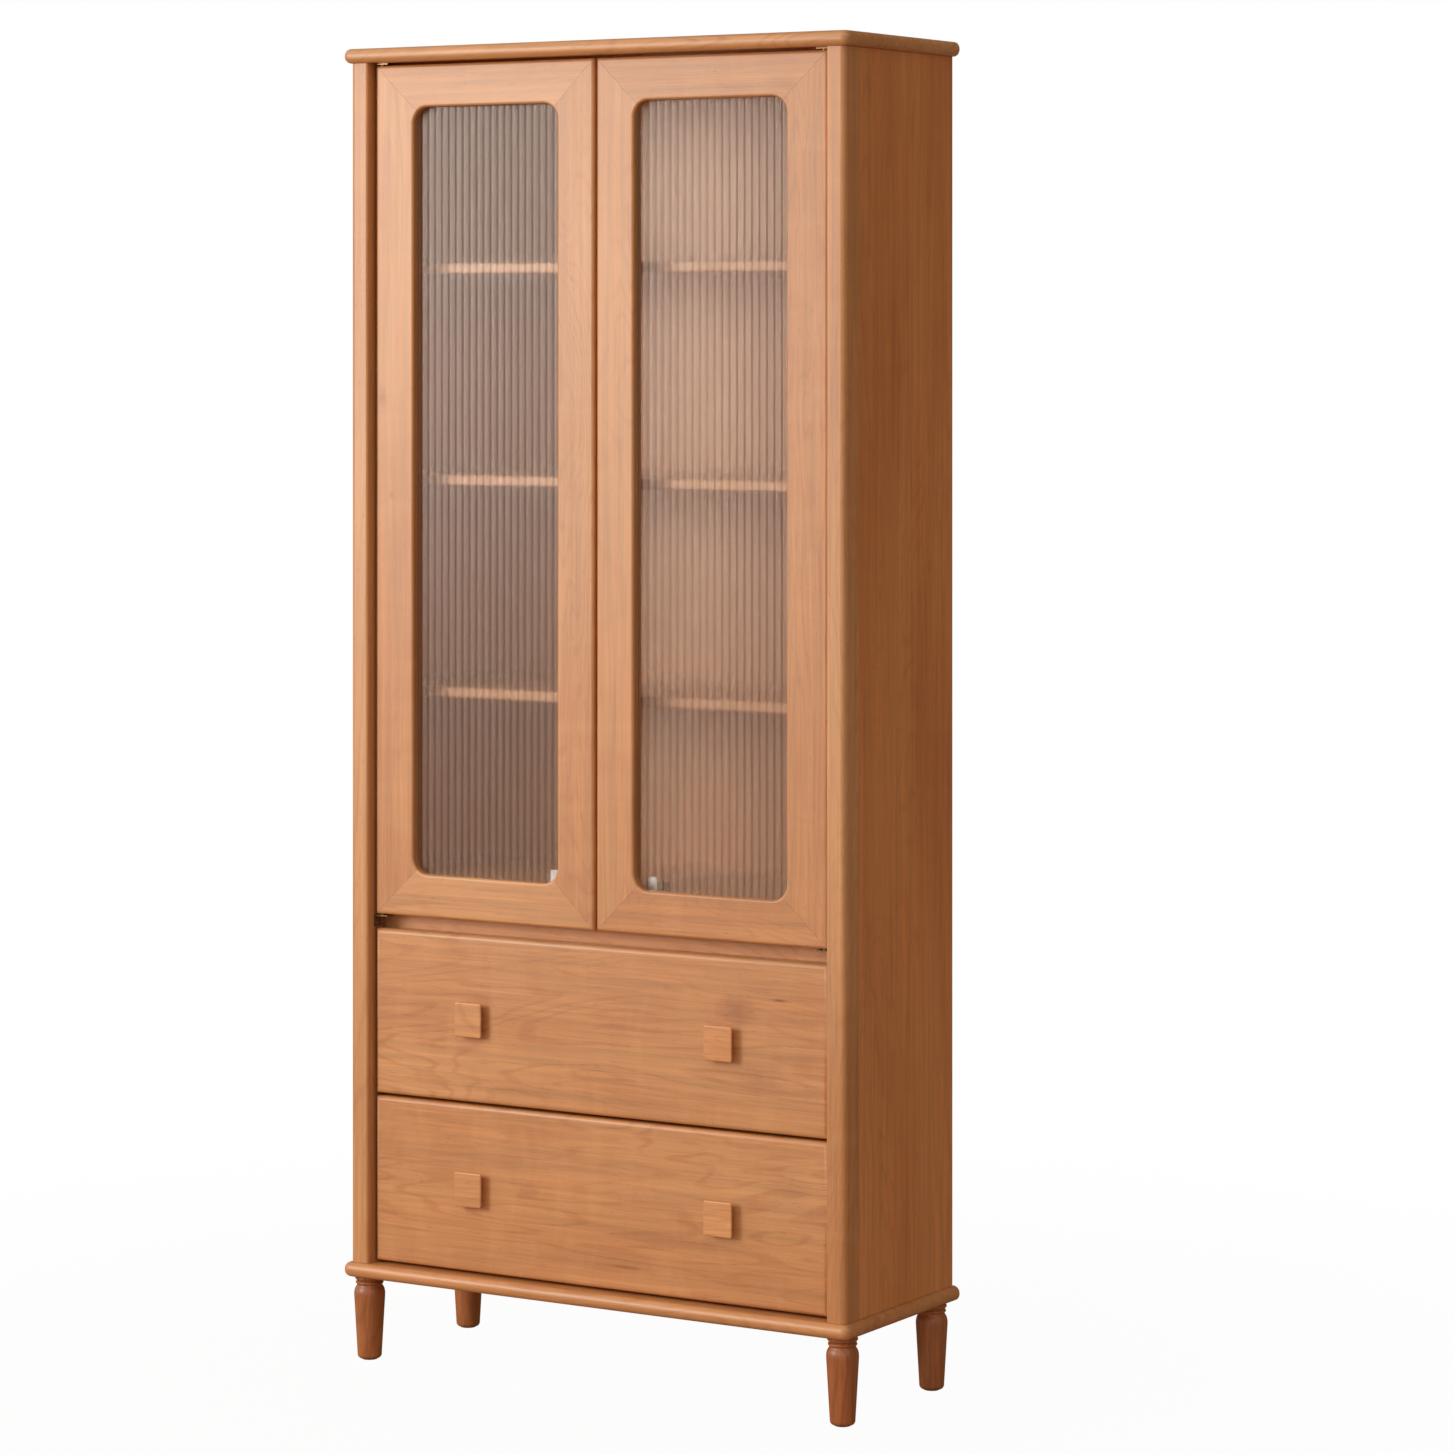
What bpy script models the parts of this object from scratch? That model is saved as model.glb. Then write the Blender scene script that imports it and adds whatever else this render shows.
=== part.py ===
"""Tall china cabinet: two glazed doors over two drawers, on four turned legs.

Metres, +Z up. The front faces -Y. The origin is on the floor, under the middle of the cabinet.
"""

import math

import bmesh
import bpy
from mathutils import Matrix, Vector

# Driving dimensions.
HEIGHT = 2.000
CASE_WIDTH = 0.870  # over the posts
CASE_DEPTH = 0.320  # from the posts' front faces to the sides' rear edges
LEG_HEIGHT = 0.128
SLAB_THICK = 0.022  # the top panel and the base panel
SLAB_OVERHANG = 0.010  # past the posts, in front and at the sides
SLAB_REAR_OVERHANG = 0.004
BOARD = 0.018
POST_WIDTH = 0.032
POST_DEPTH = 0.040
FRONT_RECESS = 0.014  # the doors and drawers stand this far behind the posts' faces
FRONT_THICK = 0.024  # doors and drawer fronts
REVEAL = 0.0045  # between a post and a door or a drawer front
PAIR_GAP = 0.004  # between the doors, between the drawers, and above and below them
DRAWER_HEIGHT = 0.251
SLOT_HEIGHT = 0.022  # the finger slot between the upper drawer and the doors
HINGE_STILE = 0.070
MEETING_STILE = 0.0655
DOOR_RAIL = 0.0648
OPENING_RADIUS = 0.025
SHELF_TOPS = {"lower_shelf": 1.0286, "middle_shelf": 1.3513, "upper_shelf": 1.673}
SHELF_THICK = 0.016
SHELF_SETBACK = 0.060
SHELF_ROUND = 0.003
FLOOR_TOP = 0.744  # top of the floor of the glazed compartment
KNOB_WIDTH = 0.053
KNOB_HEIGHT = 0.056
KNOB_DEPTH = 0.013
KNOB_TAPER = 0.72  # its size at the drawer's front against its face
KNOB_X = 0.220
KNOB_ROUND = 0.0025
DRAWER_FRONT_ROUND = 0.007
LEG_X = 0.4167
LEG_Y = 0.1325
PIVOT_FROM_EDGE = 0.009
PIVOT_BEHIND_FACE = 0.007
BACK_THICK = 0.008
BACK_INSET = 0.012  # from the sides' rear edges to the back panel's front face
FLOOR_THICK = 0.020
RAIL_SETBACK = 0.048  # from the posts' faces to the front rail
RAIL_THICK = 0.020
RAIL_BELOW_DOOR = 0.027
SLAB_CORNER = 0.013
SLAB_NOSE = 0.010
POST_OUTER_ROUND = 0.008
POST_INNER_ROUND = 0.005
FIT = 0.0003  # gap left between touching pieces
CLEARANCE = 0.001  # gap left beside a piece that is slid or dropped in
PAST = 0.010  # how far a cutter runs past what it cuts

# Places that follow from them.
FRONT_Y = -0.157
REAR_Y = FRONT_Y + CASE_DEPTH
FACE_Y = FRONT_Y + FRONT_RECESS
FACE_BACK_Y = FACE_Y + FRONT_THICK
BASE_TOP = LEG_HEIGHT + SLAB_THICK
TOP_UNDERSIDE = HEIGHT - SLAB_THICK
CASE_LOW = BASE_TOP + FIT
CASE_HIGH = TOP_UNDERSIDE - FIT
SIDE_X = CASE_WIDTH / 2
SIDE_INNER_X = SIDE_X - BOARD
POST_INNER_X = SIDE_X - POST_WIDTH
POST_BACK_Y = FRONT_Y + POST_DEPTH
FRONT_X = POST_INNER_X - REVEAL
BACK_PANEL_Y = REAR_Y - BACK_INSET
LOWER_DRAWER_Z = BASE_TOP + PAIR_GAP
UPPER_DRAWER_Z = LOWER_DRAWER_Z + DRAWER_HEIGHT + PAIR_GAP
DOOR_LOW = UPPER_DRAWER_Z + DRAWER_HEIGHT + SLOT_HEIGHT
DOOR_HIGH = TOP_UNDERSIDE - PAIR_GAP
PIVOT_X = FRONT_X - PIVOT_FROM_EDGE
PIVOT_Y = FACE_Y + PIVOT_BEHIND_FACE

TINY = 0.000001  # two places nearer than this are one

PARTS = bpy.data.collections.new("china_cabinet")
CUTTERS = bpy.data.collections.new("cutters")


def clear_scene():
    for obj in list(bpy.data.objects):
        bpy.data.objects.remove(obj, do_unlink=True)
    for collection in (PARTS, CUTTERS):
        bpy.context.scene.collection.children.link(collection)


def make_material(name, color, roughness, metallic=0.0, alpha=1.0, transmission=0.0):
    material = bpy.data.materials.new(name)
    material.use_nodes = True
    shader = material.node_tree.nodes["Principled BSDF"]
    shader.inputs["Base Color"].default_value = (*color, 1.0)
    shader.inputs["Roughness"].default_value = roughness
    shader.inputs["Metallic"].default_value = metallic
    shader.inputs["Alpha"].default_value = alpha
    shader.inputs["Transmission Weight"].default_value = transmission
    material.diffuse_color = (*color, alpha)
    return material


def make_axis(name, place):
    """An empty on a joint's axis, which the joint's pieces hang from."""
    axis = bpy.data.objects.new(name, None)
    axis.empty_display_size = 0.05
    axis.location = place
    PARTS.objects.link(axis)
    return axis


def add_piece(name, bm, centre, material=None, axis=None):
    """One named solid from a bmesh built round its own centre. With no material it is a cutter."""
    mesh = bpy.data.meshes.new(name)
    bm.normal_update()
    bmesh.ops.recalc_face_normals(bm, faces=bm.faces)
    bm.to_mesh(mesh)
    bm.free()
    piece = bpy.data.objects.new(name, mesh)
    piece.location = Vector(centre) - (axis.location if axis else Vector())
    piece.parent = axis
    if material:
        mesh.materials.append(material)
        PARTS.objects.link(piece)
    else:
        piece.hide_render = True
        piece.display_type = "WIRE"
        CUTTERS.objects.link(piece)
    return piece


def block(size):
    bm = bmesh.new()
    bmesh.ops.create_cube(bm, size=1.0)
    bmesh.ops.scale(bm, vec=size, verts=bm.verts)
    return bm


def edges_at(bm, *sides):
    """Edges of a block named by side: (0, -1, 1) is the one along X at the front and the top."""
    found = []
    for edge in bm.edges:
        middle = (edge.verts[0].co + edge.verts[1].co) / 2
        place = tuple(round(math.copysign(1, c)) if abs(c) > TINY else 0 for c in middle)
        if place in sides:
            found.append(edge)
    return found


def round_edges(bm, edges, radius, segments):
    bmesh.ops.bevel(bm, geom=edges, offset=radius, segments=segments, profile=0.5, affect="EDGES")


def span(low, high):
    """Size and centre of the box between two corners."""
    low, high = Vector(low), Vector(high)
    return high - low, (high + low) / 2


def board(name, low, high, material, axis=None, rounded=(), radius=0.002, segments=2):
    size, centre = span(low, high)
    bm = block(size)
    if rounded:
        round_edges(bm, edges_at(bm, *rounded), radius, segments)
    return add_piece(name, bm, centre, material, axis)


def cut(piece, cutter, operation="DIFFERENCE"):
    modifier = piece.modifiers.new(cutter.name, "BOOLEAN")
    modifier.operation = operation
    modifier.solver = "EXACT"
    modifier.object = cutter


def rod(radius, length, segments=16):
    bm = bmesh.new()
    bmesh.ops.create_cone(
        bm, cap_ends=True, segments=segments, radius1=radius, radius2=radius, depth=length
    )
    return bm


def turned(name, profile, place, material, axis=None, steps=20):
    """A solid of revolution about Z, from (radius, height) points down its outer side."""
    mesh = bpy.data.meshes.new(name)
    points = [(radius, 0.0, height) for radius, height in profile]
    mesh.from_pydata(points, [(i, i + 1) for i in range(len(points) - 1)], [])
    mesh.materials.append(material)
    piece = bpy.data.objects.new(name, mesh)
    piece.location = Vector(place) - (axis.location if axis else Vector())
    piece.parent = axis
    screw = piece.modifiers.new("turn", "SCREW")
    screw.steps = steps
    screw.render_steps = steps
    screw.use_merge_vertices = True
    screw.merge_threshold = 0.00005
    PARTS.objects.link(piece)
    return piece


FRONT_EDGES = ((0, -1, 1), (0, -1, -1), (1, -1, 0), (-1, -1, 0))


# The carcass: slabs, posts, sides, back, floor, rail, shelves and legs.


def make_slab(name, low, material):
    """A horizontal slab with a bullnose in front and at the sides, and rounded front corners."""
    reach = SIDE_X + SLAB_OVERHANG
    size, centre = span(
        (-reach, FRONT_Y - SLAB_OVERHANG, low),
        (reach, REAR_Y + SLAB_REAR_OVERHANG, low + SLAB_THICK),
    )
    bm = block(size)
    round_edges(bm, edges_at(bm, (1, -1, 0), (-1, -1, 0)), SLAB_CORNER, 4)
    rear = size.y / 2 - TINY
    rim = []
    for edge in bm.edges:
        first, second = (vert.co for vert in edge.verts)
        level = abs(first.z - second.z) < TINY
        if level and min(first.y, second.y) < rear:
            rim.append(edge)
    round_edges(bm, rim, SLAB_NOSE, 4)
    return add_piece(name, bm, centre, material)


def make_post(name, side, material):
    """A front post: its outer front corner is rounder than its inner one."""
    inner, outer = side * POST_INNER_X, side * SIDE_X
    size, centre = span(
        (min(inner, outer), FRONT_Y, CASE_LOW), (max(inner, outer), POST_BACK_Y, CASE_HIGH)
    )
    bm = block(size)
    outer_edge = edges_at(bm, (side, -1, 0))
    inner_edge = edges_at(bm, (-side, -1, 0))
    round_edges(bm, outer_edge, POST_OUTER_ROUND, 4)
    round_edges(bm, inner_edge, POST_INNER_ROUND, 3)
    return add_piece(name, bm, centre, material)


def make_leg(name, x, y, material):
    """A turned leg: collar, neck groove, bead, shoulder, long taper and rounded foot."""
    profile = [(0.0, LEG_HEIGHT - FIT), (0.0220, LEG_HEIGHT - FIT), (0.0225, 0.1240)]
    profile += [(0.0212, 0.1205), (0.0195, 0.1190), (0.0211, 0.1160), (0.0198, 0.1130)]
    profile += [(0.0222, 0.1100), (0.0234, 0.1060), (0.0236, 0.1010)]
    profile += [(0.0184, 0.0120), (0.0172, 0.0045), (0.0145, 0.0), (0.0, 0.0)]
    return turned(name, profile, (x, y, 0.0), material)


def make_carcass(cherry, plywood):
    make_slab("top_panel", TOP_UNDERSIDE, cherry)
    make_slab("base_panel", LEG_HEIGHT, cherry)
    for name, side in (("left", -1), ("right", 1)):
        make_post(f"front_{name}_post", side, cherry)
        inner, outer = sorted((side * SIDE_INNER_X, side * SIDE_X))
        board(
            f"{name}_side_panel",
            (inner, POST_BACK_Y + FIT, CASE_LOW),
            (outer, REAR_Y, CASE_HIGH),
            cherry,
        )
    reach = SIDE_INNER_X - FIT
    board(
        "back_panel",
        (-reach, BACK_PANEL_Y, CASE_LOW),
        (reach, BACK_PANEL_Y + BACK_THICK, CASE_HIGH),
        plywood,
    )
    board(
        "middle_panel",
        (-reach, POST_BACK_Y + CLEARANCE, FLOOR_TOP - FLOOR_THICK),
        (reach, BACK_PANEL_Y - FIT, FLOOR_TOP),
        cherry,
    )
    rail_front = FRONT_Y + RAIL_SETBACK
    board(
        "front_rail",
        (-reach, rail_front, DOOR_LOW - RAIL_BELOW_DOOR),
        (reach, rail_front + RAIL_THICK, FLOOR_TOP - FLOOR_THICK - FIT),
        cherry,
    )
    for name, top in SHELF_TOPS.items():
        board(
            name,
            (-reach, FRONT_Y + SHELF_SETBACK, top - SHELF_THICK),
            (reach, BACK_PANEL_Y - CLEARANCE, top),
            cherry,
            rounded=((0, -1, 1), (0, -1, -1)),
            radius=SHELF_ROUND,
        )
    for end, y in (("front", -LEG_Y), ("rear", LEG_Y)):
        for name, side in (("left", -1), ("right", 1)):
            make_leg(f"{end}_{name}_leg", side * LEG_X, y, cherry)


# The doors: mitred frames with a pane, a glazing bead, pivot bushes and a strike plate.

BUSH_RADIUS = 0.0045
BUSH_BORE = 0.0034
BUSH_LENGTH = 0.012
BUSH_END = 0.001
PIN_RADIUS = 0.0030
PIN_LENGTH = 0.012
PIN_ROOT = 0.001  # how far the pin is let into its plate
PLATE_THICK = 0.0022
PLATE_IN_FRONT = 0.005
PLATE_BEHIND = 0.013
PLATE_INWARD = 0.012  # past the pivot, towards the cabinet's middle
PLATE_BELOW_DOOR = 0.0018
EAR_HEIGHT = 0.018
CATCH_X = 0.0875
CATCH_WIDTH = 0.027
CATCH_DEPTH = 0.017
CATCH_HEIGHT = 0.013
STRIKE_WIDTH = 0.015
STRIKE_HEIGHT = 0.030
STRIKE_THICK = 0.0018
STRIKE_ABOVE_DOOR_END = 0.053
MITRE_OUTWARD = 0.3  # how far a wedge runs past the frame and into the opening, in mitres
MITRE_INWARD = 0.6
FRAME_OUTER_ROUND = 0.005
FRAME_INNER_ROUND = 0.004
GLASS_SETBACK = 0.013
GLASS_THICK = 0.004
GLASS_PLAY = 0.0005
REBATE = 0.009
MITRE_GAP = 0.00021  # along the frame's edge, on each side of a mitre


def door_outline(side):
    """Corners of the door's outside and of its opening: (x, z) pairs in turn, from the low left."""
    meeting, hinge = PAIR_GAP / 2, FRONT_X
    left, right = sorted((side * meeting, side * hinge))
    left_stile, right_stile = (MEETING_STILE, HINGE_STILE) if side > 0 else (HINGE_STILE, MEETING_STILE)
    outside = [(left, DOOR_LOW), (right, DOOR_LOW), (right, DOOR_HIGH), (left, DOOR_HIGH)]
    low, high = DOOR_LOW + DOOR_RAIL, DOOR_HIGH - DOOR_RAIL
    inner_left, inner_right = left + left_stile, right - right_stile
    opening = [(inner_left, low), (inner_right, low), (inner_right, high), (inner_left, high)]
    return outside, opening


def rounded_outline(corners, radius, steps=6):
    """The outline of an upright rectangle, from its low left corner, with a round at each corner."""
    (left, low), _, (right, high), _ = corners
    centres = [(left + radius, low + radius), (right - radius, low + radius)]
    centres += [(right - radius, high - radius), (left + radius, high - radius)]
    points = []
    for quarter, (x, z) in enumerate(centres):
        for step in range(steps + 1):
            angle = math.pi + (quarter + step / steps) * math.pi / 2
            points.append((x + radius * math.cos(angle), z + radius * math.sin(angle)))
    return points


def frame_blank(outside, opening):
    """The whole frame as one flat piece round y = 0, its front edges rounded inside and outside."""
    curve = bpy.data.curves.new("frame_outline", "CURVE")
    curve.dimensions = "2D"
    curve.fill_mode = "BOTH"
    curve.extrude = FRONT_THICK / 2
    for points in (outside, rounded_outline(opening, OPENING_RADIUS)):
        spline = curve.splines.new("POLY")
        spline.points.add(len(points) - 1)
        spline.use_cyclic_u = True
        for point, (x, z) in zip(spline.points, points):
            point.co = (x, z, 0.0, 1.0)
    flat = bpy.data.objects.new(curve.name, curve)
    PARTS.objects.link(flat)
    graph = bpy.context.evaluated_depsgraph_get()
    mesh = bpy.data.meshes.new_from_object(flat.evaluated_get(graph))
    bpy.data.objects.remove(flat, do_unlink=True)
    bm = bmesh.new()
    bm.from_mesh(mesh)
    bmesh.ops.remove_doubles(bm, verts=bm.verts, dist=FIT / 100)
    bmesh.ops.dissolve_limit(bm, angle_limit=0.01, verts=bm.verts, edges=bm.edges)
    bmesh.ops.rotate(bm, matrix=Matrix.Rotation(math.pi / 2, 3, "X"), verts=bm.verts)
    left, right = outside[0][0], outside[1][0]
    low, high = outside[0][1], outside[2][1]
    inner, outer = [], []
    for edge in bm.edges:
        middle = (edge.verts[0].co + edge.verts[1].co) / 2
        if middle.y > FIT - FRONT_THICK / 2 or edge.calc_face_angle() < 1.0:
            continue
        at_side = min(abs(middle.x - left), abs(middle.x - right)) < FIT
        at_end = min(abs(middle.z - low), abs(middle.z - high)) < FIT
        (outer if at_side or at_end else inner).append(edge)
    round_edges(bm, outer, FRAME_OUTER_ROUND, 3)
    inner = [edge for edge in inner if edge.is_valid]
    round_edges(bm, inner, FRAME_INNER_ROUND, 3)
    return bm


def mitre_wedge(name, start, end, axis):
    """The room that one frame member may fill: a prism between the mitre lines at its two ends."""
    (outer_a, inner_a), (outer_b, inner_b) = start, end
    along = (Vector(outer_b) - Vector(outer_a)).normalized() * MITRE_GAP
    corners = []
    for outer, inner, shift in ((outer_a, inner_a, along), (outer_b, inner_b, -along)):
        mitre = Vector(inner) - Vector(outer)
        past, reach = Vector(outer) - MITRE_OUTWARD * mitre, Vector(inner) + MITRE_INWARD * mitre
        corners.append((past + shift, reach + shift))
    bm = block((1.0, 1.0, 1.0))
    near_y, far_y = FACE_Y - PAST, FACE_BACK_Y + PAST
    for vert in bm.verts:
        outer, inner = corners[1 if vert.co.x > 0 else 0]
        x, z = inner if vert.co.z > 0 else outer
        vert.co = (x, near_y if vert.co.y < 0 else far_y, z)
    return add_piece(name, bm, (0.0, 0.0, 0.0), axis=axis)


def make_frame(prefix, side, axis, cherry):
    """Four mitred members, each cut from the same blank by its wedge."""
    outside, opening = door_outline(side)
    (_, low), _, (_, high), _ = outside
    (opening_left, opening_low), _, (opening_right, opening_high), _ = opening
    rebate_size, rebate_centre = span(
        (opening_left - REBATE, FACE_Y + GLASS_SETBACK - FIT, opening_low - REBATE),
        (opening_right + REBATE, FACE_BACK_Y + PAST, opening_high + REBATE),
    )
    cutters = [add_piece(f"{prefix}_rebate", block(rebate_size), rebate_centre, axis=axis)]
    for end, z in (("upper", high), ("lower", low)):
        bore = rod(BUSH_RADIUS + FIT, 2 * (BUSH_LENGTH + 2 * FIT), 24)
        cutters.append(add_piece(f"{prefix}_{end}_bore", bore, (side * PIVOT_X, PIVOT_Y, z), axis=axis))
    corners = list(zip(outside, opening))
    hinge, meeting = ("left", "right") if side < 0 else ("right", "left")
    members = {"bottom_rail": (0, 1), "right_stile": (1, 2), "top_rail": (2, 3), "left_stile": (3, 0)}
    names = {f"{hinge}_stile": "hinge_stile", f"{meeting}_stile": "meeting_stile"}
    blank = frame_blank(outside, opening)
    centre = (0.0, (FACE_Y + FACE_BACK_Y) / 2, 0.0)
    for member, (start, end) in members.items():
        piece = add_piece(f"{prefix}_{names.get(member, member)}", blank.copy(), centre, cherry, axis)
        for cutter in cutters:
            cut(piece, cutter)
        wedge = mitre_wedge(f"{piece.name}_wedge", corners[start], corners[end], axis)
        cut(piece, wedge, "INTERSECT")


def make_glazing(prefix, side, axis, glass, cherry):
    _, opening = door_outline(side)
    (left, low), _, (right, high), _ = opening
    grow = REBATE - GLASS_PLAY
    near = FACE_Y + GLASS_SETBACK
    board(
        f"{prefix}_glass",
        (left - grow, near, low - grow),
        (right + grow, near + GLASS_THICK, high + grow),
        glass,
        axis,
    )
    for bead, edge, inward in (("left", left, 1), ("right", right, -1)):
        near_x, far_x = sorted((edge - inward * grow, edge - inward * FIT))
        board(
            f"{prefix}_{bead}_glazing_bead",
            (near_x, near + GLASS_THICK + FIT, low - grow),
            (far_x, FACE_BACK_Y - GLASS_PLAY, high + grow),
            cherry,
            axis,
        )


def make_bush(name, side, mouth, closed_end, axis, metal):
    """A cup let into the door's end, open towards the pin."""
    floor = closed_end - math.copysign(BUSH_END, closed_end)
    outline = [(0.0, floor), (BUSH_BORE, floor), (BUSH_BORE, 0.0), (BUSH_RADIUS, 0.0)]
    outline += [(BUSH_RADIUS, closed_end), (0.0, closed_end)]
    if closed_end > 0:
        outline.reverse()
    return turned(name, outline, (side * PIVOT_X, PIVOT_Y, mouth), metal, axis)


def make_pivots(name, side, metal):
    """The carcass halves of a door's pivots: each is a plate with a pin, joined into one solid."""
    reach = side * (POST_INNER_X - FIT)
    inner = side * (PIVOT_X - PLATE_INWARD)
    near, far = PIVOT_Y - PLATE_IN_FRONT, PIVOT_Y + PLATE_BEHIND
    left, right = sorted((inner, reach))
    from_plate = PIN_LENGTH / 2 - PIN_ROOT
    top = TOP_UNDERSIDE - FIT
    upper = board(f"{name}_upper_pivot", (left, near, top - PLATE_THICK), (right, far, top), metal)
    pin_z = top - PLATE_THICK - from_plate
    upper_pin = add_piece(f"{name}_upper_pin", rod(PIN_RADIUS, PIN_LENGTH), (side * PIVOT_X, PIVOT_Y, pin_z))
    cut(upper, upper_pin, "UNION")
    plate_top = DOOR_LOW - PLATE_BELOW_DOOR
    plate_low = plate_top - PLATE_THICK
    lower = board(f"{name}_lower_pivot", (left, near, plate_low), (right, far, plate_top), metal)
    pin_z = plate_top + from_plate
    lower_pin = add_piece(f"{name}_lower_pin", rod(PIN_RADIUS, PIN_LENGTH), (side * PIVOT_X, PIVOT_Y, pin_z))
    cut(lower, lower_pin, "UNION")
    ear_left, ear_right = sorted((reach, reach - side * PLATE_THICK))
    ear_low = (ear_left, near, plate_top - EAR_HEIGHT)
    ear_size, ear_centre = span(ear_low, (ear_right, far, plate_top - PLATE_THICK / 2))
    cut(lower, add_piece(f"{name}_lower_ear", block(ear_size), ear_centre), "UNION")


def make_catch(name, side, axis, steel, plastic):
    """A magnetic catch on the compartment's floor, and the strike plate on the door that meets it."""
    middle = side * CATCH_X
    board(
        f"{name}_magnetic_catch",
        (middle - CATCH_WIDTH / 2, POST_BACK_Y + FIT, FLOOR_TOP + FIT),
        (middle + CATCH_WIDTH / 2, POST_BACK_Y + CATCH_DEPTH, FLOOR_TOP + CATCH_HEIGHT),
        plastic,
    )
    low = DOOR_LOW + STRIKE_ABOVE_DOOR_END
    board(
        f"{name}_door_strike_plate",
        (middle - STRIKE_WIDTH / 2, FACE_BACK_Y + FIT, low),
        (middle + STRIKE_WIDTH / 2, FACE_BACK_Y + STRIKE_THICK, low + STRIKE_HEIGHT),
        steel,
        axis,
    )


def make_door(name, side, cherry, glass, brass, steel, plastic):
    middle = (DOOR_LOW + DOOR_HIGH) / 2
    axis = make_axis(f"{name}_door_axis", (side * PIVOT_X, PIVOT_Y, middle))
    prefix = f"{name}_door"
    make_frame(prefix, side, axis, cherry)
    make_glazing(prefix, side, axis, glass, cherry)
    make_bush(f"{prefix}_upper_bush", side, DOOR_HIGH - FIT, -BUSH_LENGTH, axis, brass)
    make_bush(f"{prefix}_lower_bush", side, DOOR_LOW + FIT, BUSH_LENGTH, axis, brass)
    make_pivots(name, side, brass)
    make_catch(name, side, axis, steel, plastic)


# The drawers: boxes that hang on wooden runners, with two square knobs each.

DRAWER_SIDE = 0.014
DRAWER_SIDE_OUTER = 0.396
DRAWER_REAR = 0.125
RUNNER_HEIGHT = 0.016
RUNNER_GROOVE = 0.007
RUNNER_PLAY = 0.0006
RUNNER_FROM_POST = 0.005
RUNNER_FROM_BACK = 0.003
BOX_HEIGHT = 0.210
BOTTOM_RAISE = 0.010
BOTTOM_THICK = 0.006
BOTTOM_GROOVE = 0.006


def make_drawer_sides(prefix, axis, low, high, wood):
    """Each side has a groove outside for its runner and one inside for the drawer's bottom."""
    middle = (low + high) / 2
    front = FACE_BACK_Y + FIT
    for name, side in (("left", -1), ("right", 1)):
        outer, inner = side * DRAWER_SIDE_OUTER, side * (DRAWER_SIDE_OUTER - DRAWER_SIDE)
        left, right = sorted((outer, inner))
        piece = board(f"{prefix}_{name}_side", (left, front, low), (right, DRAWER_REAR, high), wood, axis)
        runner_x = (outer + side * PAST, outer - side * RUNNER_GROOVE)
        bottom_x = (inner - side * PAST, inner + side * BOTTOM_GROOVE)
        bottom_z = low + BOTTOM_RAISE + BOTTOM_THICK / 2
        grooves = {
            "runner_groove": (*sorted(runner_x), middle, RUNNER_HEIGHT / 2 + RUNNER_PLAY),
            "bottom_groove": (*sorted(bottom_x), bottom_z, BOTTOM_THICK / 2 + FIT),
        }
        for groove, (near, far, height, half) in grooves.items():
            size, centre = span(
                (near, front - PAST, height - half), (far, DRAWER_REAR + PAST, height + half)
            )
            cut(piece, add_piece(f"{piece.name}_{groove}", block(size), centre, axis=axis))


def make_runners(prefix, height, wood):
    for name, side in (("left", -1), ("right", 1)):
        groove_floor = DRAWER_SIDE_OUTER - RUNNER_GROOVE
        left, right = sorted((side * (groove_floor + RUNNER_PLAY), side * (SIDE_INNER_X - FIT)))
        board(
            f"{prefix}_{name}_runner",
            (left, POST_BACK_Y + RUNNER_FROM_POST, height - RUNNER_HEIGHT / 2),
            (right, BACK_PANEL_Y - RUNNER_FROM_BACK, height + RUNNER_HEIGHT / 2),
            wood,
        )


def make_knob(name, x, z, material, axis):
    """A square knob that narrows towards the drawer's front."""
    low = (x - KNOB_WIDTH / 2, FACE_Y - KNOB_DEPTH, z - KNOB_HEIGHT / 2)
    size, centre = span(low, (x + KNOB_WIDTH / 2, FACE_Y - FIT, z + KNOB_HEIGHT / 2))
    bm = block(size)
    for vert in bm.verts:
        if vert.co.y > 0:
            vert.co.x *= KNOB_TAPER
            vert.co.z *= KNOB_TAPER
    slants = [edge for edge in bm.edges if abs(edge.verts[0].co.y - edge.verts[1].co.y) > KNOB_DEPTH / 2]
    face_edges = [edge for edge in bm.edges if max(vert.co.y for vert in edge.verts) < 0]
    round_edges(bm, slants + face_edges, KNOB_ROUND, 2)
    add_piece(name, bm, centre, material, axis)


def make_drawer(name, low, cherry, wood, plywood):
    high = low + DRAWER_HEIGHT
    middle = (low + high) / 2
    axis = make_axis(f"{name}_drawer_axis", (0.0, FACE_Y, middle))
    prefix = f"{name}_drawer"
    board(
        f"{prefix}_front",
        (-FRONT_X, FACE_Y, low),
        (FRONT_X, FACE_BACK_Y, high),
        cherry,
        axis,
        rounded=FRONT_EDGES,
        radius=DRAWER_FRONT_ROUND,
        segments=4,
    )
    box_low, box_high = middle - BOX_HEIGHT / 2, middle + BOX_HEIGHT / 2
    make_drawer_sides(prefix, axis, box_low, box_high, wood)
    inner = DRAWER_SIDE_OUTER - DRAWER_SIDE - FIT
    bottom_top = box_low + BOTTOM_RAISE + BOTTOM_THICK
    board(
        f"{prefix}_back",
        (-inner, DRAWER_REAR - DRAWER_SIDE, bottom_top + FIT),
        (inner, DRAWER_REAR, box_high),
        wood,
        axis,
    )
    reach = inner + BOTTOM_GROOVE - FIT
    board(
        f"{prefix}_bottom",
        (-reach, FACE_BACK_Y + FIT, bottom_top - BOTTOM_THICK),
        (reach, DRAWER_REAR, bottom_top),
        plywood,
        axis,
    )
    for knob, side in (("left", -1), ("right", 1)):
        make_knob(f"{prefix}_{knob}_knob", side * KNOB_X, middle, cherry, axis)
    make_runners(prefix, middle, wood)


def shade_by_angle():
    for piece in PARTS.objects:
        if piece.type == "MESH":
            piece.data.shade_smooth()
            piece.data.set_sharp_from_angle(angle=math.radians(40))


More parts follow.
